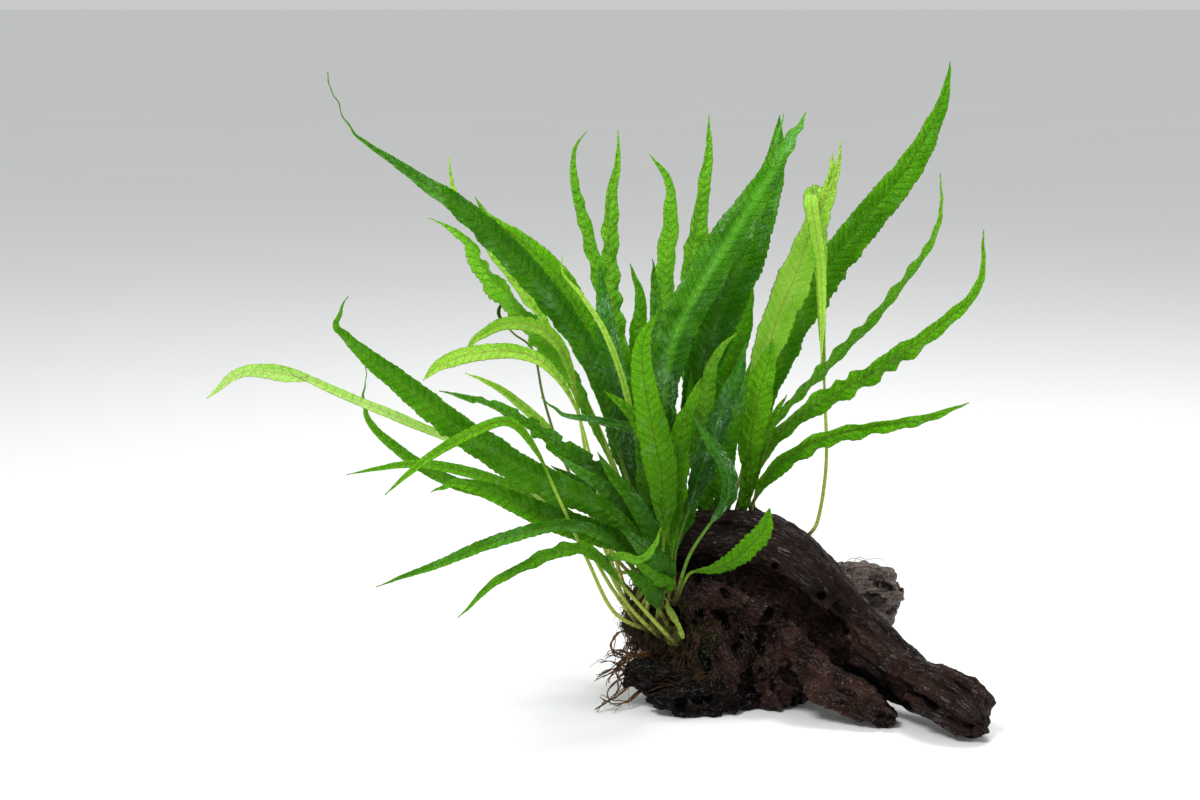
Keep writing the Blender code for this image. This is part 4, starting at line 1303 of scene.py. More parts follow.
@dataclass(frozen=True)
class Frond:
    """A stalk and its blade, grown as one piece along a route from its seat to its tip."""

    name: str
    tone: Tone
    width: float
    blade_from: float  # share of the length where the blade begins
    seat: tuple  # share along the rhizome, degrees around it
    route: tuple
    turn: float = 0.0  # degrees the blade is rolled away from the front
    twist: float = 0.0  # further degrees by the tip
    peak: float = 0.38  # share of the blade where it is widest
    tail: float = 0.0  # how much thinner the tip is drawn out, 0 for blunt
    fold: float = 21.0  # degrees that each half rises from flat
    ruffle: float = 0.28  # height of the waves of the margin, as a share of the half width
    teeth: float = 0.09  # depth of the margin's teeth, as a share of the half width
    nibble: float = 0.0  # depth of the bites in the margin
    wire: float = 0.5  # how far the tip wanders, in mm
    forks: tuple = ()  # second tips: share where each leaves, half width, route
    lean: float = -0.14  # painted light and shade: how much lighter the right half is coloured than the left
    thick: float = 0.95  # half the stalk's thickness at its foot

    def stalk_radius(self, share: np.ndarray) -> np.ndarray:
        """Half the stalk's thickness at shares of the length."""
        return self.thick * (1 - 0.55 * share)

    def blade_half(self, blade: np.ndarray) -> np.ndarray:
        """Half the blade's width at shares of the blade."""
        inside = np.clip(blade, 0, 1)
        rise = np.sin(math.pi / 2 * np.clip(inside / self.peak, 0, 1)) ** 1.1
        fall = np.clip((inside - self.peak) / (1 - self.peak), 0, 1)
        fall = np.cos(math.pi / 2 * fall**1.15) ** (0.85 + self.tail)
        return self.width / 2 * rise * fall

    def second_half(self, share: np.ndarray, half: float) -> np.ndarray:
        """Half the width of a second tip at shares of its length."""
        return half * (1 - share) ** 0.7 * (0.4 + 0.6 * ease(share, 0, 0.3))

    def build(self, rhizome: Rhizome, number: int, solid: bool) -> bpy.types.Object:
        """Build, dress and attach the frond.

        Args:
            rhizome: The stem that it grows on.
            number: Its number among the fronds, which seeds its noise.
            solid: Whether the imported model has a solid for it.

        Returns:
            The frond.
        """
        line = Route((*rhizome.seat(*self.seat), *self.route))
        start = line.length * self.blade_from
        stations = np.concatenate([np.arange(0, start, STALK_STEP),
                                   np.arange(start, line.length - 0.4, BLADE_STEP), [line.length]])
        noise = Noise(1000 + number)
        points, faces, kept = self.skin(line, stations, self.blade_from, noise)
        for leave, half, route in self.forks:
            root = line.at(np.array([line.length * leave]))[0]
            branch = Route((root, *route))
            steps = np.concatenate([np.arange(0, branch.length - 0.4, BLADE_STEP), [branch.length]])
            extra = self.skin(branch, steps, -0.6, noise, half)
            faces += [[i + len(points) for i in face] for face in extra[1]]
            points = np.vstack([points, extra[0]])
            kept = {key: np.concatenate([kept[key], extra[2][key]]) for key in kept}
        made = make_object(self.name + "_grown", points, faces)
        for key, values in kept.items():
            give(made, key, values)
        give(made, "vary", np.full(len(points), noise.at(np.array([[0.5, 0.5, 0.5]]))[0]))
        relief = min(self.width / 10, 1.0)
        made = grow(made, TREES["blade"], material(self.tone), Pucker=PUCKER * relief,
                    Vein_Lift=VEIN_LIFT * relief, Vein_Pitch=VEIN_PITCH, Seed=float(number))
        return hand_in(made, self.tone.value.slot, *([self.name] if solid else []))

    def skin(self, line: Route, stations: np.ndarray, blade_from: float, noise: Noise,
             half: float = 0.0) -> tuple[np.ndarray, list, dict]:
        """The closed skin of the frond or of a second tip.

        Args:
            line: The line along its middle.
            stations: Distances along the line, one for each ring.
            blade_from: Share of the length where the blade begins.
            noise: The frond's noise.
            half: Half the width of a second tip, or 0 for the frond itself.

        Returns:
            The points, the faces, and what the relief and the finish read on the points.
        """
        share = stations / line.length
        blade = (share - blade_from) / (1 - blade_from)
        way = line.ways(stations)
        roll = np.radians(self.turn + self.twist * share)
        face = turned(across(way, FRONT), way, roll)
        side = np.cross(way, face)
        stalk = self.stalk_radius(share)
        wide = self.second_half(share, half) if half else self.blade_half(blade)
        wide = np.maximum(np.maximum(wide, stalk * np.clip(1 - blade, 0, 1)), THINNEST)
        leafy = np.ones_like(blade) if half else ease(blade, 0.0, 0.10)
        centre = line.at(stations)[:, :3]
        loose = ease(blade, 0.72, 1.0) * self.wire
        centre = centre + side * (loose * noise.along(stations / 5.0, 3.3))[:, None]
        centre = centre + face * (loose * noise.along(stations / 6.0, 7.7))[:, None]
        columns = 2 * int(np.clip(np.ceil(max(self.width / 2, half) / BLADE_STEP), 3, 10))
        u = np.linspace(-1, 1, columns + 1)
        rings = Rings(stations, blade, stalk, leafy, u, noise)
        edge = self.margin(rings)
        spread = wide[:, None] * np.where(u[None] < 0, edge[0][:, None], edge[1][:, None])
        ring_x, ring_z = self.shell(rings, *self.section(rings, spread))
        skin = centre[:, None] + side[:, None] * ring_x[..., None] + face[:, None] * ring_z[..., None]
        points, faces = loft(skin)
        around = ring_x.shape[1]
        full = with_ends(np.concatenate([u, u[-2:0:-1]])[None] * np.ones((len(stations), 1)))
        kept = {
            "across": full,
            "along": for_rings(stations * MM, around),
            "half": for_rings(wide * MM, around),
            "blade": for_rings(np.where(blade < 0, blade, np.clip(blade, 0, 1)), around),
            "lean": full * self.lean,
            "facing": np.vstack([np.repeat(face, around, axis=0), face[:1], face[-1:]]),
            "fuzz": for_rings(1 - ease(share, 0.05, max(blade_from, 0.1)), around),
        }
        return points, faces, kept

    def shell(self, rings: Rings, x: np.ndarray, mid: np.ndarray) -> tuple[np.ndarray, np.ndarray]:
        """The skin around each ring, round at the stalk and flat at the blade.

        Args:
            rings: The rings.
            x: How far each place across lies to the side where the frond is flat.
            mid: How far it rises there.

        Returns:
            How far each point of a ring lies to the side, and how far it rises.
        """
        stalk, blade = rings.stalk[:, None], np.clip(rings.blade, 0, 1)[:, None]
        leafy, u = rings.leafy[:, None], rings.u[None]
        rib = stalk * (1 - 0.45 * blade)
        rib = rib * 0.8 * np.exp(-((x / np.maximum(rib, 0.15)) ** 2))
        flesh = 0.17 * (1.15 - 0.6 * blade) * (1 - 0.6 * u**4)
        turn = u * math.pi / 2
        round_x, round_z = stalk * np.sin(turn), stalk * np.cos(turn)
        flat_x = round_x + (x - round_x) * leafy
        top = round_z + (mid + flesh + 0.3 * rib - round_z) * leafy
        bottom = -round_z + (mid - flesh - rib + round_z) * leafy
        both = (top + bottom) / 2
        top[:, 0] = bottom[:, 0] = both[:, 0]
        top[:, -1] = bottom[:, -1] = both[:, -1]
        ring_x = np.concatenate([flat_x, flat_x[:, -2:0:-1]], axis=1)
        return ring_x, np.concatenate([top, bottom[:, -2:0:-1]], axis=1)

    def margin(self, rings: Rings) -> list[np.ndarray]:
        """How far the left and the right margin reach, as a share of the half width."""
        stations, noise = rings.stations, rings.noise
        found = []
        for row in (11.0, 23.0):
            reach = 1 + 0.08 * noise.along(stations / 13, row) + 0.04 * noise.along(stations / 4, row + 4)
            saw = np.mod(stations / 3.4 + noise.along(stations / 9, row + 8), 1)
            reach -= self.teeth * saw
            bites = ease(noise.along(stations / 3.2, row + 12), 0.15, 0.45)
            reach -= self.nibble * bites
            found.append(np.where(rings.blade > 0.03, reach, 1.0))
        return found

    def section(self, rings: Rings, spread: np.ndarray) -> tuple[np.ndarray, np.ndarray]:
        """The middle surface of the blade across each ring.

        Args:
            rings: The rings.
            spread: Half the width on the side of each place across.

        Returns:
            How far each place lies to the side, and how far it rises.
        """
        stations, u, noise = rings.stations, rings.u, rings.noise
        fold = np.radians(self.fold * (1 + 0.5 * noise.along(stations / 30, 41)))[:, None]
        x = spread * u[None] * np.cos(fold)
        mid = spread * np.abs(u)[None] * np.sin(fold) * (1 - 0.3 * np.abs(u)[None])
        grid = np.stack(np.broadcast_arrays(stations[:, None] / 11, u[None] * 1.2, 71.3), axis=-1)
        mid = mid + noise.fractal(grid.reshape(-1, 3), 2).reshape(mid.shape) * spread * 0.17
        strength = self.ruffle * np.sin(math.pi * np.clip(rings.blade, 0.02, 0.98)) ** 0.5
        for sign, row in ((-1, 51.0), (1, 63.0)):
            pitch = 11.0 + 1.5 * self.width / 5
            phase = stations / pitch + 0.9 * noise.along(stations / 24, row)
            wave = np.sin(math.tau * phase) * (0.7 + 0.5 * noise.along(stations / 15, row + 5))
            reach = np.clip(u * sign, 0, 1) ** 2.0
            mid = mid + (strength * wave)[:, None] * reach[None] * spread
        return x, mid


FRONT_RHIZOME = Rhizome(
    "rhizome_front",
    ((-35, -29, 31), (-44, -25, 35), (-52, -14, 37), (-53, 1, 42), (-49, 14, 48), (-45, 25, 56)),
    3.8, 3.4, (0, 0, 1), Finish.RHIZOME)
OFFSHOOT = Rhizome(
    "rhizome_offshoot",
    ((-35, -36, 34), (-38, -39, 42), (-43, -42, 52), (-43, -44, 63)),
    1.7, 3.2, (0, -1, 0), Finish.OFFSHOOT, 0.25, 0.6)
BACK_RHIZOME = Rhizome(
    "rhizome_back",
    ((-33, 26, 73), (-20, 30, 73), (-8, 32, 73), (2, 33, 71), (12, 32, 68), (24, 27, 61)),
    3.6, 3.2, (0, 0, 1), Finish.RHIZOME)

FRONT_FRONDS = (
    Frond("frond_low_left_short", Tone.MID, 7, 0.3, (0.04, 95),
          ((-61, -48, 60), (-74, -58, 78), (-85, -64, 82), (-102, -70, 77), (-118, -76, 69),
           (-132, -82, 56)), -10, ruffle=0.45),
    Frond("frond_low_left_ruffled", Tone.DARK, 7, 0.2, (0.09, 50),
          ((-55, -44, 64), (-69, -54, 84), (-89, -60, 91), (-115, -66, 86), (-140, -71, 77),
           (-167, -76, 68)), 10, fold=22, ruffle=0.5, lean=-0.25, teeth=0.16),
    Frond("frond_crescent", Tone.LIGHT, 5.5, 0.50, (0.13, 100),
          ((-60, -40, 51), (-69, -49, 71), (-65, -58, 77), (-54, -66, 78), (-49, -68, 84),
           (-46, -70, 92)), 15, fold=30),
    Frond("frond_left_broad", Tone.MID, 15.5, 0.14, (0.17, 45),
          ((-45, -36, 59), (-52, -42, 78), (-72, -48, 96), (-98, -53, 110), (-128, -58, 130),
           (-153, -62, 151), (-172, -65, 167), (-182, -67, 179), (-178, -68, 191)),
          -8, 10, wire=1.2, peak=0.42, tail=0.1, ruffle=0.34, teeth=0.1),
    Frond("frond_bent", Tone.BRIGHT, 5.2, 0.5, (0.21, 95),
          ((-66, -38, 47), (-78, -48, 74), (-90, -58, 103), (-99, -63, 124), (-110, -66, 137),
           (-124, -68, 134), (-144, -70, 123), (-163, -72, 107)), 10, peak=0.5, ruffle=0.15),
    Frond("frond_left_hooked", Tone.MID, 13, 0.16, (0.25, 55),
          ((-50, -28, 63), (-59, -33, 76), (-76, -37, 83), (-98, -41, 92), (-118, -45, 102),
           (-135, -48, 107), (-145, -50, 103)), 5, 10, wire=1.0, ruffle=0.4, lean=-0.3),
    Frond("frond_far_left_pale", Tone.PALE, 4.6, 0.34, (0.29, 95),
          ((-67, -26, 55), (-80, -29, 77), (-103, -31, 100), (-129, -33, 119), (-159, -34, 133),
           (-185, -34, 144), (-210, -34, 155), (-226, -35, 154), (-243, -36, 142)),
          -5, 10, peak=0.45, ruffle=0.2,
          forks=((0.80, 5.0, ((-226, -35.5, 154), (-243, -36.5, 142))),)),
    Frond("frond_glossy_middle", Tone.GLOSSY, 9, 0.2, (0.33, 40),
          ((-46, -24, 67), (-56, -30, 88), (-70, -36, 102), (-82, -40, 111), (-92, -43, 119)),
          5, ruffle=0.4),
    Frond("frond_dark_thread", Tone.WET, 5.5, 0.3, (0.36, 0),
          ((-43, -10, 74), (-43, -16, 102), (-52, -24, 123), (-72, -30, 131), (-89, -33, 135),
           (-97, -35, 143)), 20, ruffle=0.4, wire=1.5),
    Frond("frond_nibbled", Tone.DARK, 10.5, 0.15, (0.40, 50),
          ((-47, -16, 65), (-53, -21, 88), (-72, -26, 107), (-89, -29, 119), (-103, -32, 130),
           (-122, -35, 140), (-142, -37, 145)), 0, 10, nibble=0.4, wire=1.2),
    Frond("frond_arch_lower", Tone.LIME, 8.5, 0.5, (0.42, 95),
          ((-67, -12, 64), (-75, -10, 105), (-84, -6, 135), (-97, -2, 152), (-113, 2, 157),
           (-131, 4, 155), (-144, 6, 150), (-152, 6, 143)), 8, ruffle=0.12, peak=0.72, lean=-0.3),
    Frond("frond_thin_strip", Tone.LIME, 3.6, 0.40, (0.46, 5),
          ((-49, -12, 73), (-54, -18, 110), (-61, -24, 145), (-70, -27, 170), (-80, -28, 186),
           (-88, -28, 196), (-88, -28, 204))),
    Frond("frond_left_long", Tone.DARK, 14, 0.22, (0.50, 50),
          ((-48, -6, 63), (-61, -12, 105), (-76, -18, 155), (-98, -24, 189), (-128, -30, 221),
           (-158, -34, 243), (-178, -38, 259), (-188, -40, 283)),
          12, 10, wire=1.2, peak=0.42, tail=1.4, ruffle=0.36),
    Frond("frond_arch_upper", Tone.LIME, 7.5, 0.52, (0.53, 95),
          ((-64, -2, 59), (-75, 2, 89), (-81, 8, 124), (-87, 12, 151), (-97, 16, 164),
           (-114, 20, 167), (-128, 22, 160), (-134, 24, 152)), 12, ruffle=0.15, peak=0.6),
    Frond("frond_upright_wet", Tone.WET, 17, 0.16, (0.55, 5),
          ((-46, 2, 63), (-54, 2, 93), (-62, 2, 123), (-67, 2, 151), (-70, 2, 176),
           (-72, 3, 197)), -15, ruffle=0.3, peak=0.45),
    Frond("frond_left_serrated", Tone.LIGHT, 14, 0.3, (0.60, 50),
          ((-50, 5, 63), (-67, 14, 103), (-86, 22, 144), (-108, 30, 170), (-127, 36, 192),
           (-134, 38, 204), (-151, 42, 213)),
          -20, -10, wire=1.2, peak=0.6, tail=0.5, teeth=0.2, ruffle=0.4, lean=-0.3),
    Frond("frond_narrow_lime", Tone.LIME, 5, 0.50, (0.65, 95),
          ((-68, 10, 59), (-81, 18, 97), (-96, 22, 117), (-109, 24, 129), (-120, 25, 137),
           (-134, 26, 143)), 10),
    Frond("frond_left_slender", Tone.MID, 5.8, 0.25, (0.68, 50),
          ((-59, 4, 60), (-83, 12, 79), (-111, 18, 91), (-136, 23, 98), (-160, 28, 100),
           (-190, 32, 94)), 10),
    Frond("frond_upright_dark", Tone.DARK, 14, 0.16, (0.67, -8),
          ((-42, 17, 69), (-43, 21, 104), (-43, 22, 137), (-46, 23, 166), (-48, 24, 196)), 20),
    Frond("frond_left_wavy", Tone.BRIGHT, 12.5, 0.3, (0.75, 15),
          ((-48, 12, 63), (-61, 20, 108), (-76, 28, 158), (-90, 34, 185), (-109, 40, 203),
           (-122, 42, 212), (-130, 44, 222)), 0, 15, ruffle=0.45, wire=1.0, peak=0.5, lean=0.3),
    Frond("fiddlehead", Tone.COIL, 2, 0.90, (0.78, 90),
          ((-69, 22, 63), (-88, 32, 99), (-98, 38, 128), (-103, 40, 151), (-112, 41, 159),
           (-118, 42, 166), (-119, 42, 170), (-117, 42, 173), (-114, 42, 171)), wire=0.1),
    Frond("frond_upright_curled", Tone.LIGHT, 12, 0.25, (0.82, 0),
          ((-45, 19, 66), (-56, 23, 112), (-65, 29, 157), (-68, 36, 194), (-67, 38, 222),
           (-64, 39, 240), (-64, 40, 253)), 20, 10, ruffle=0.35, fold=26),
    Frond("frond_left_young", Tone.LIME, 8, 0.50, (0.87, 50),
          ((-53, 24, 65), (-72, 34, 115), (-93, 46, 155), (-117, 56, 189), (-133, 62, 210),
           (-141, 64, 224), (-143, 66, 240)), 25, 20),
    Frond("frond_upright_pointed", Tone.MID, 12, 0.25, (0.91, 0),
          ((-45, 27, 66), (-48, 35, 101), (-53, 41, 133), (-54, 45, 160), (-53, 47, 175),
           (-58, 49, 191)), -20),
    Frond("frond_wiry_tip", Tone.MID, 7, 0.35, (0.92, 90),
          ((-65, 26, 50), (-91, 36, 72), (-119, 42, 81), (-147, 46, 90), (-169, 49, 104),
           (-182, 50, 119), (-182, 51, 142)), 0, 20, wire=1.8, tail=0.5, ruffle=0.45),
    Frond("frond_upright_curved", Tone.LIGHT, 9, 0.3, (0.97, 35),
          ((-50, 33, 64), (-58, 45, 113), (-68, 54, 164), (-78, 62, 203), (-84, 66, 226),
           (-84, 68, 242), (-78, 70, 251)), 25, ruffle=0.45),
    Frond("frond_upright_light", Tone.LIGHT, 13, 0.3, (0.99, -25),
          ((-39, 38, 67), (-42, 52, 112), (-42, 64, 157), (-40, 68, 191), (-38, 70, 214),
           (-40, 72, 229), (-49, 74, 240)), -25, ruffle=0.28),
)
OFFSHOOT_FRONDS = (
    Frond("frond_small_dark", Tone.DARK, 8, 0.25, (0.45, 75),
          ((-50, -50, 60), (-55, -53, 65), (-61, -55, 70)), thick=0.85),
    Frond("frond_over_wood", Tone.YOUNG, 11, 0.26, (0.62, -95),
          ((-33, -46, 66), (-23, -50, 69), (-14, -53, 74), (-6, -55, 82), (-1, -56, 89),
           (1, -57, 98)), -15, thick=0.85, peak=0.68, teeth=0.25, ruffle=0.5),
    Frond("frond_hooked", Tone.WET, 9, 0.42, (0.75, -60),
          ((-33, -48, 75), (-23, -52, 92), (-17, -55, 103), (-18, -57, 115), (-25, -59, 127),
           (-32, -61, 138)), 20, thick=0.85),
    Frond("frond_small_left", Tone.YOUNG, 10, 0.3, (0.80, 90),
          ((-45, -40, 89), (-48, -42, 115), (-55, -45, 132), (-63, -48, 142), (-70, -51, 148)),
          20, thick=0.85),
    Frond("frond_right_dark", Tone.WET, 13, 0.3, (0.85, -120),
          ((-39, -40, 75), (-33, -38, 94), (-26, -34, 115), (-19, -30, 135), (-12, -27, 151),
           (-8, -25, 165)), 15, thick=0.85),
    Frond("frond_front_right", Tone.YOUNG, 14, 0.16, (0.92, -30),
          ((-41, -44, 85), (-40, -47, 108), (-37, -50, 131), (-33, -52, 143), (-29, -54, 154)),
          18, thick=0.85),
    Frond("frond_front_bright", Tone.YOUNG, 16.5, 0.16, (0.95, 30),
          ((-44, -46, 88), (-45, -50, 109), (-49, -54, 131), (-53, -57, 152), (-54, -59, 169),
           (-48, -62, 184)), -12, ruffle=0.12, thick=0.85),
)
BACK_FRONDS = (
    Frond("frond_broad_glossy", Tone.GLOSSY, 20, 0.16, (0.00, -30),
          ((-41, 12, 96), (-44, 0, 128), (-40, -8, 161), (-29, -12, 186), (-13, -16, 213),
           (0, -18, 235), (10, -20, 252), (17, -22, 265)), -5, teeth=0.08, wire=1.2,
          forks=((0.87, 1.4, ((5, -19, 255), (8, -20, 264))),), peak=0.45),
    Frond("frond_broad_dark", Tone.DARK, 22, 0.16, (0.06, -15),
          ((-35, 20, 103), (-29, 14, 135), (-20, 10, 168), (-9, 8, 196), (0, 8, 222),
           (6, 8, 242), (8, 8, 262)), 5, ruffle=0.12, peak=0.45),
    Frond("frond_back_upright", Tone.LIGHT, 12.5, 0.25, (0.10, 45),
          ((-27, 50, 102), (-31, 62, 143), (-29, 70, 183), (-24, 76, 218), (-21, 79, 241),
           (-20, 81, 258)), 30),
    Frond("frond_right_narrow", Tone.LIGHT, 9, 0.25, (0.13, -30),
          ((-27, 20, 99), (-25, 6, 129), (-22, 0, 150), (-17, -3, 160), (-11, -5, 166)), 15),
    Frond("frond_back_small", Tone.MID, 5, 0.30, (0.20, -38),
          ((-22, 24, 80), (-24, 22, 85), (-27, 21, 90))),
    Frond("frond_right_tall", Tone.BRIGHT, 14, 0.2, (0.20, 15),
          ((-22, 30, 94), (-18, 30, 123), (-11, 30, 148), (-5, 30, 167), (-2, 31, 188)), -25),
    Frond("stem_dead_brown", Tone.DEAD, 1.6, 0.90, (0.27, -30),
          ((-19, 29, 79), (-17, 29, 87), (-16, 29, 95)), wire=0.1),
    Frond("frond_pale_broad", Tone.LIME, 19, 0.2, (0.35, -10),
          ((-6, 28, 97), (-1, 26, 135), (8, 24, 166), (18, 23, 192), (26, 22, 216),
           (32, 22, 231), (33, 23, 244)), 20, ruffle=0.12,
          forks=((0.82, 3.2, ((34, 22, 233), (37, 21, 250))),), peak=0.5),
    Frond("frond_rounded", Tone.BRIGHT, 16, 0.12, (0.43, -35),
          ((-3, 18, 90), (-3, 14, 112), (0, 12, 133), (4, 12, 149), (6, 13, 161)), -20, peak=0.6),
    Frond("frond_right_long", Tone.MID, 21, 0.12, (0.45, 70),
          ((2, 58, 101), (10, 68, 135), (26, 74, 171), (48, 78, 201), (72, 80, 230),
           (88, 82, 258), (94, 84, 283)), 15, ruffle=0.14, peak=0.42),
    Frond("frond_right_low", Tone.BRIGHT, 12, 0.1, (0.51, -38),
          ((-1, 18, 85), (7, 12, 101), (26, 8, 115), (49, 5, 122), (73, 2, 126),
           (94, 0, 134)), 20, fold=34, ruffle=0.35, peak=0.32),
    Frond("frond_right_grey", Tone.LIGHT, 9, 0.1, (0.42, 30),
          ((-2, 38, 95), (10, 42, 118), (31, 44, 141), (53, 46, 164), (73, 48, 188),
           (85, 50, 209), (86, 50, 233)), 40),
    Frond("frond_right_arched", Tone.BRIGHT, 12, 0.1, (0.51, 5),
          ((-2, 26, 88), (9, 26, 113), (29, 27, 129), (53, 28, 143), (80, 28, 162),
           (101, 28, 183), (103, 28, 209)), 25, ruffle=0.4, peak=0.3),
    Frond("stem_dead_black", Tone.DEAD, 1.6, 0.90, (0.60, 20),
          ((0, 37, 78), (2, 39, 86), (4, 40, 92)), wire=0.1),
    Frond("frond_folded_top", Tone.LIME, 7, 0.34, (0.96, 45),
          ((31, 44, 70), (35, 50, 96), (34, 54, 130), (32, 56, 168), (31, 54, 201),
           (29, 50, 219), (28, 46, 226), (27.5, 42, 222), (27, 40, 210), (27, 39, 196)), 10, peak=0.62,
          forks=((0.84, 5.2, ((26, 36, 225.2), (23.8, 24, 224.6), (23.4, 16, 220), (25, 11.5, 210),
                              (27, 10, 198), (28, 10, 185), (28.5, 11, 168), (28.5, 13, 150))),)),
)

OFFSHOOT_SPARES = (
    Frond("inner_dark_low", Tone.DARK, 10, 0.10, (0.80, 60),
          ((-44, -46, 72), (-50, -45, 85), (-58, -44, 99), (-67, -44, 110), (-73, -44, 120)),
          10, thick=0.8, ruffle=0.35),
    Frond("inner_dark_high", Tone.DARK, 11, 0.12, (0.70, 20),
          ((-45, -38, 77), (-49, -36, 92), (-52, -34, 110), (-54, -32, 127), (-55, -32, 141)),
          -15, thick=0.8),
    Frond("inner_mid", Tone.MID, 10, 0.12, (0.80, -20),
          ((-42, -40, 76), (-42, -38, 95), (-41, -36, 114), (-36, -34, 130), (-33, -33, 143)),
          10, thick=0.8),
    Frond("inner_right", Tone.MID, 8, 0.15, (0.75, -70),
          ((-40, -36, 74), (-33, -33, 92), (-27, -30, 109), (-21, -28, 124), (-15, -27, 140)),
          25, thick=0.8),
    Frond("low_front", Tone.DARK, 10, 0.10, (0.90, 70),
          ((-42, -48, 67), (-48, -51, 74), (-55, -53, 81), (-63, -54, 88)),
          5, thick=0.8),
    Frond("low_front_short", Tone.MID, 8, 0.10, (0.85, 80),
          ((-42, -48, 62), (-48, -52, 66), (-53, -55, 71), (-58, -57, 75)),
          -10, thick=0.8),
)
BACK_SPARES = (
    Frond("gap_left", Tone.MID, 11, 0.10, (0.05, -20),
          ((-23, 10, 77), (-26, 6, 97), (-29, 4, 116), (-31, 3, 134), (-31, 3, 148)),
          15),
    Frond("gap_dark", Tone.DARK, 11, 0.10, (0.20, -20),
          ((-16, 12, 79), (-16, 8, 101), (-13, 6, 120), (-8, 5, 136), (-4, 5, 152)),
          -15),
    Frond("gap_right", Tone.MID, 10, 0.10, (0.42, 0),
          ((-7, 20, 79), (-4, 18, 94), (0, 16, 109), (6, 15, 123), (13, 14, 135)),
          20),
    Frond("gap_bright", Tone.BRIGHT, 9, 0.12, (0.25, 10),
          ((-13, 25, 76), (-16, 25, 102), (-19, 25, 126), (-21, 26, 144)),
          -20),
)
FRONT_SPARES = (
    Frond("fan_dark", Tone.DARK, 14, 0.12, (0.60, 10),
          ((-49, 10, 59), (-54, 8, 87), (-59, 6, 116), (-65, 5, 139), (-72, 4, 162)),
          -10),
    Frond("fan_mid", Tone.MID, 12, 0.12, (0.72, 0),
          ((-47, 20, 59), (-49, 22, 84), (-51, 24, 112), (-54, 25, 135), (-55, 26, 158)),
          10),
    Frond("fan_low", Tone.DARK, 10, 0.12, (0.40, 40),
          ((-52, 0, 61), (-61, -4, 78), (-72, -6, 90), (-83, -8, 100), (-94, -10, 107)),
          0),
)

PLANTING = (  # each stem, some fronds on it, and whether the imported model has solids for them
    (FRONT_RHIZOME, FRONT_FRONDS, True),
    (OFFSHOOT, OFFSHOOT_FRONDS, True),
    (BACK_RHIZOME, BACK_FRONDS, True),
    (OFFSHOOT, OFFSHOOT_SPARES, False),
    (BACK_RHIZOME, BACK_SPARES, False),
    (FRONT_RHIZOME, FRONT_SPARES, False),
)


class Cover:
    """The small growth on the plant and its wood: scales, moss, fuzz and grit."""

    def build(self, fronds: list, wood: list, stems: list) -> None:
        """Build, dress and attach the growth.

        Args:
            fronds: Every frond, for the fuzz on their stalks.
            wood: The pieces of wood.
            stems: The creeping stems.
        """
        self.plant("stalk_fuzz", fronds, Finish.FUZZ, "rhizome_green", Density=9.0e4,
                   Length=0.0009, Width=0.00007, Lean=0.9, Seed=3)
        self.plant("rhizome_scales", stems, Finish.SCALE, "root_brown", Density=1.1e6,
                   Length=0.0022, Width=0.00032, Lean=1.1, Seed=5)
        mat = bpy.data.objects["root_mat_grown"]
        for made in wood:
            give(made, "fuzz", self.mossy(made))
        self.plant("moss", [*wood, mat], Finish.MOSS, "rhizome_green", Density=9.0e5,
                   Length=0.0013, Width=0.00016, Lean=0.9, Seed=7)
        for made in wood:
            made.data.attributes["fuzz"].data.foreach_set("value", self.gritty(made))
        self.plant("grit", wood, Finish.GRIT, "wood_brown", Density=1.6e5,
                   Length=0.0003, Width=0.00022, Lean=0.4, Seed=9)

    def places(self, made: bpy.types.Object) -> np.ndarray:
        """The piece's points in millimetres."""
        flat = np.empty(len(made.data.vertices) * 3)
        made.data.vertices.foreach_get("co", flat)
        return flat.reshape(-1, 3) / MM

    def mossy(self, made: bpy.types.Object) -> np.ndarray:
        """How thick the moss is on the wood, thickest near the front stem."""
        points = self.places(made)
        spine = Route(FRONT_RHIZOME.spine)
        knots = spine.at(np.linspace(0, spine.length, 12))
        reach = np.linalg.norm(points[:, None] - knots[None], axis=2).min(axis=1)
        patch = ease(Noise(71).fractal(points / 6.0, 3), 0.0, 0.5)
        return (1 - ease(reach, 9, 24)) * patch

    def gritty(self, made: bpy.types.Object) -> np.ndarray:
        """How much grit lies on the wood, in a few patches."""
        points = self.places(made)
        patch = ease(Noise(73).fractal(points / 7.0, 3), 0.25, 0.8)
        return (patch * 0.6).astype(np.float32)

    def plant(self, name: str, bases: list, finish: Finish, slot: str, **sizes: float) -> None:
        """Plant spikes on several pieces as one piece of its own.

        Args:
            name: The name of the piece.
            bases: The pieces that they stand on.
            finish: Their finish.
            slot: The record's material slot.
            **sizes: The tree's named inputs.
        """
        bm = bmesh.new()
        for base in bases:
            bm.from_mesh(base.data)
        made = make_object(name, np.zeros((0, 3)), [])
        bm.to_mesh(made.data)
        bm.free()
        hand_in(grow(made, TREES["tufts"], material(finish), **sizes), slot)


# ---------------------------------------------------------------- studio


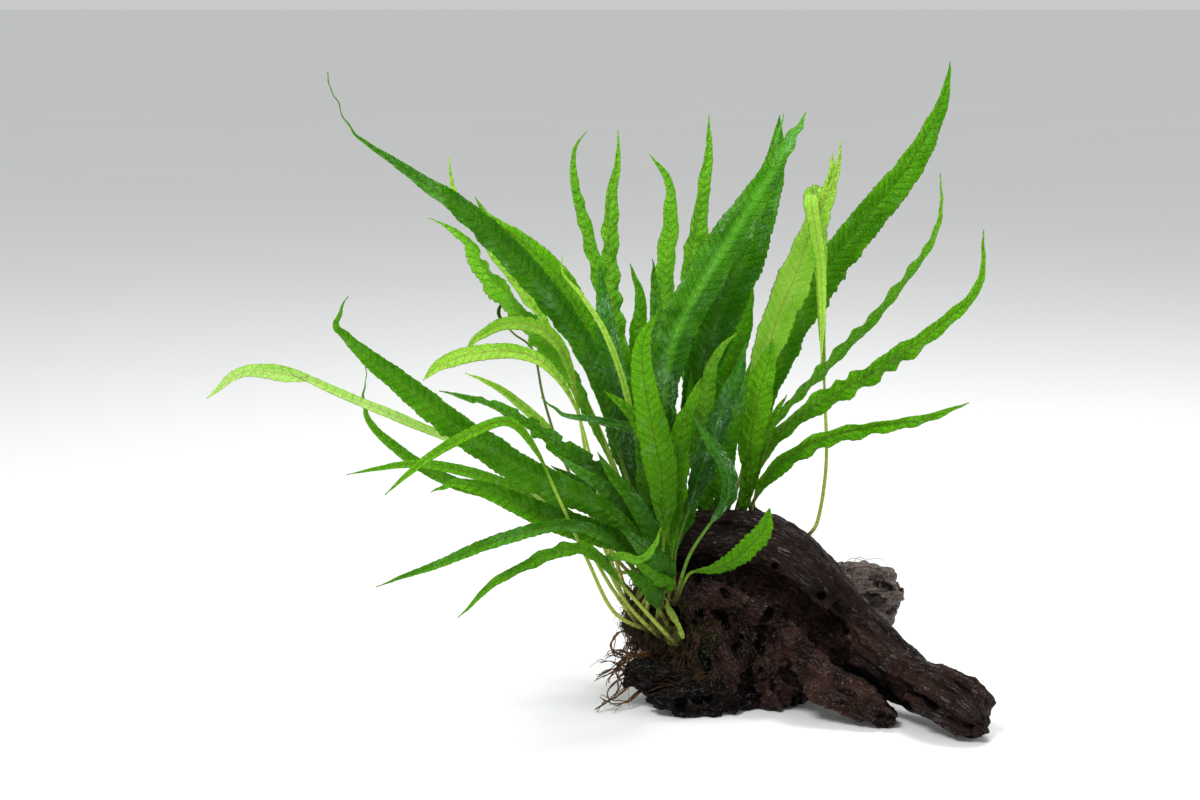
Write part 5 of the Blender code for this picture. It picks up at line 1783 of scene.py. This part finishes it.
class Studio:
    """The camera, the lights and the pale floor."""

    target = (-0.072, 0.0, 0.135)
    distance = 1.1
    elevation = 10.0
    sensor = 36.0
    view_width = 0.54  # what the view spans at the target
    sky = (0.98, 1.0, 0.99, 1)
    sky_strength = 0.6
    lamps = (  # name, place, size, watts
        ("key", (-0.4, -0.75, 1.05), 0.45, 10.0),
        ("fill", (0.85, -0.9, 0.5), 0.9, 1.5),
        ("top", (0.25, 0.35, 1.15), 0.45, 8.0),
    )

    def build(self) -> None:
        """Set up the studio."""
        scene = bpy.context.scene
        scene.view_settings.view_transform = "Standard"
        camera = bpy.data.cameras.new("camera")
        camera.sensor_width = self.sensor
        camera.lens = self.sensor * self.distance / self.view_width
        camera.clip_start, camera.clip_end = 0.05, 20
        made = bpy.data.objects.new("camera", camera)
        rise = math.radians(self.elevation)
        back = Vector((0, -math.cos(rise), math.sin(rise))) * self.distance
        self.aim(made, Vector(self.target) + back)
        scene.camera = made
        for name, place, size, watts in self.lamps:
            lamp = bpy.data.lights.new(name, "AREA")
            lamp.shape, lamp.size, lamp.energy = "DISK", size, watts
            self.aim(bpy.data.objects.new(name, lamp), Vector(place))
        world = bpy.data.worlds.new("world")
        world.use_nodes = True
        sky = world.node_tree.nodes["Background"]
        sky.inputs["Color"].default_value = self.sky
        sky.inputs["Strength"].default_value = self.sky_strength
        scene.world = world
        self.floor()

    def aim(self, made: bpy.types.Object, place: Vector) -> None:
        """Put a camera or lamp at a place, looking at the target."""
        bpy.context.scene.collection.objects.link(made)
        made.location = place
        made.rotation_euler = (Vector(self.target) - place).to_track_quat("-Z", "Y").to_euler()

    def floor(self) -> None:
        """The pale floor, far larger than the view."""
        reach = 60000.0
        corners = np.array([(x, y, -0.3) for x, y in ((-1, -1), (1, -1), (1, 1), (-1, 1))])
        corners[:, :2] *= reach
        made = make_object("floor", corners, [[0, 1, 2, 3]])
        p = Paint("floor_paint")
        p.feed("Base Color", p.mix(p.noise(p.place, 3.0), (0.86, 0.87, 0.87), (0.9, 0.9, 0.9)))
        p.set(Roughness=0.85, Specular_IOR_Level=0.2)
        made.data.materials.append(p.material)


TREES: dict[str, bpy.types.NodeTree] = {}


def main() -> None:
    """Build the studio, the wood, the stems, the roots, the fronds and what grows on them."""
    logging.basicConfig(level=logging.INFO, format="%(name)s: %(message)s")
    TREES.update(strands=strand_tree(), tufts=tuft_tree(), blade=blade_tree())
    Studio().build()
    wood = Driftwood().build()
    stems = [stem.build() for stem in (FRONT_RHIZOME, OFFSHOOT, BACK_RHIZOME)]
    Roots().build(TREES["strands"])
    fronds = []
    for stem, group, solid in PLANTING:
        for frond in group:
            fronds.append(frond.build(stem, len(fronds), solid))
    Cover().build(fronds, wood, stems)


if __name__ == "__main__":
    main()
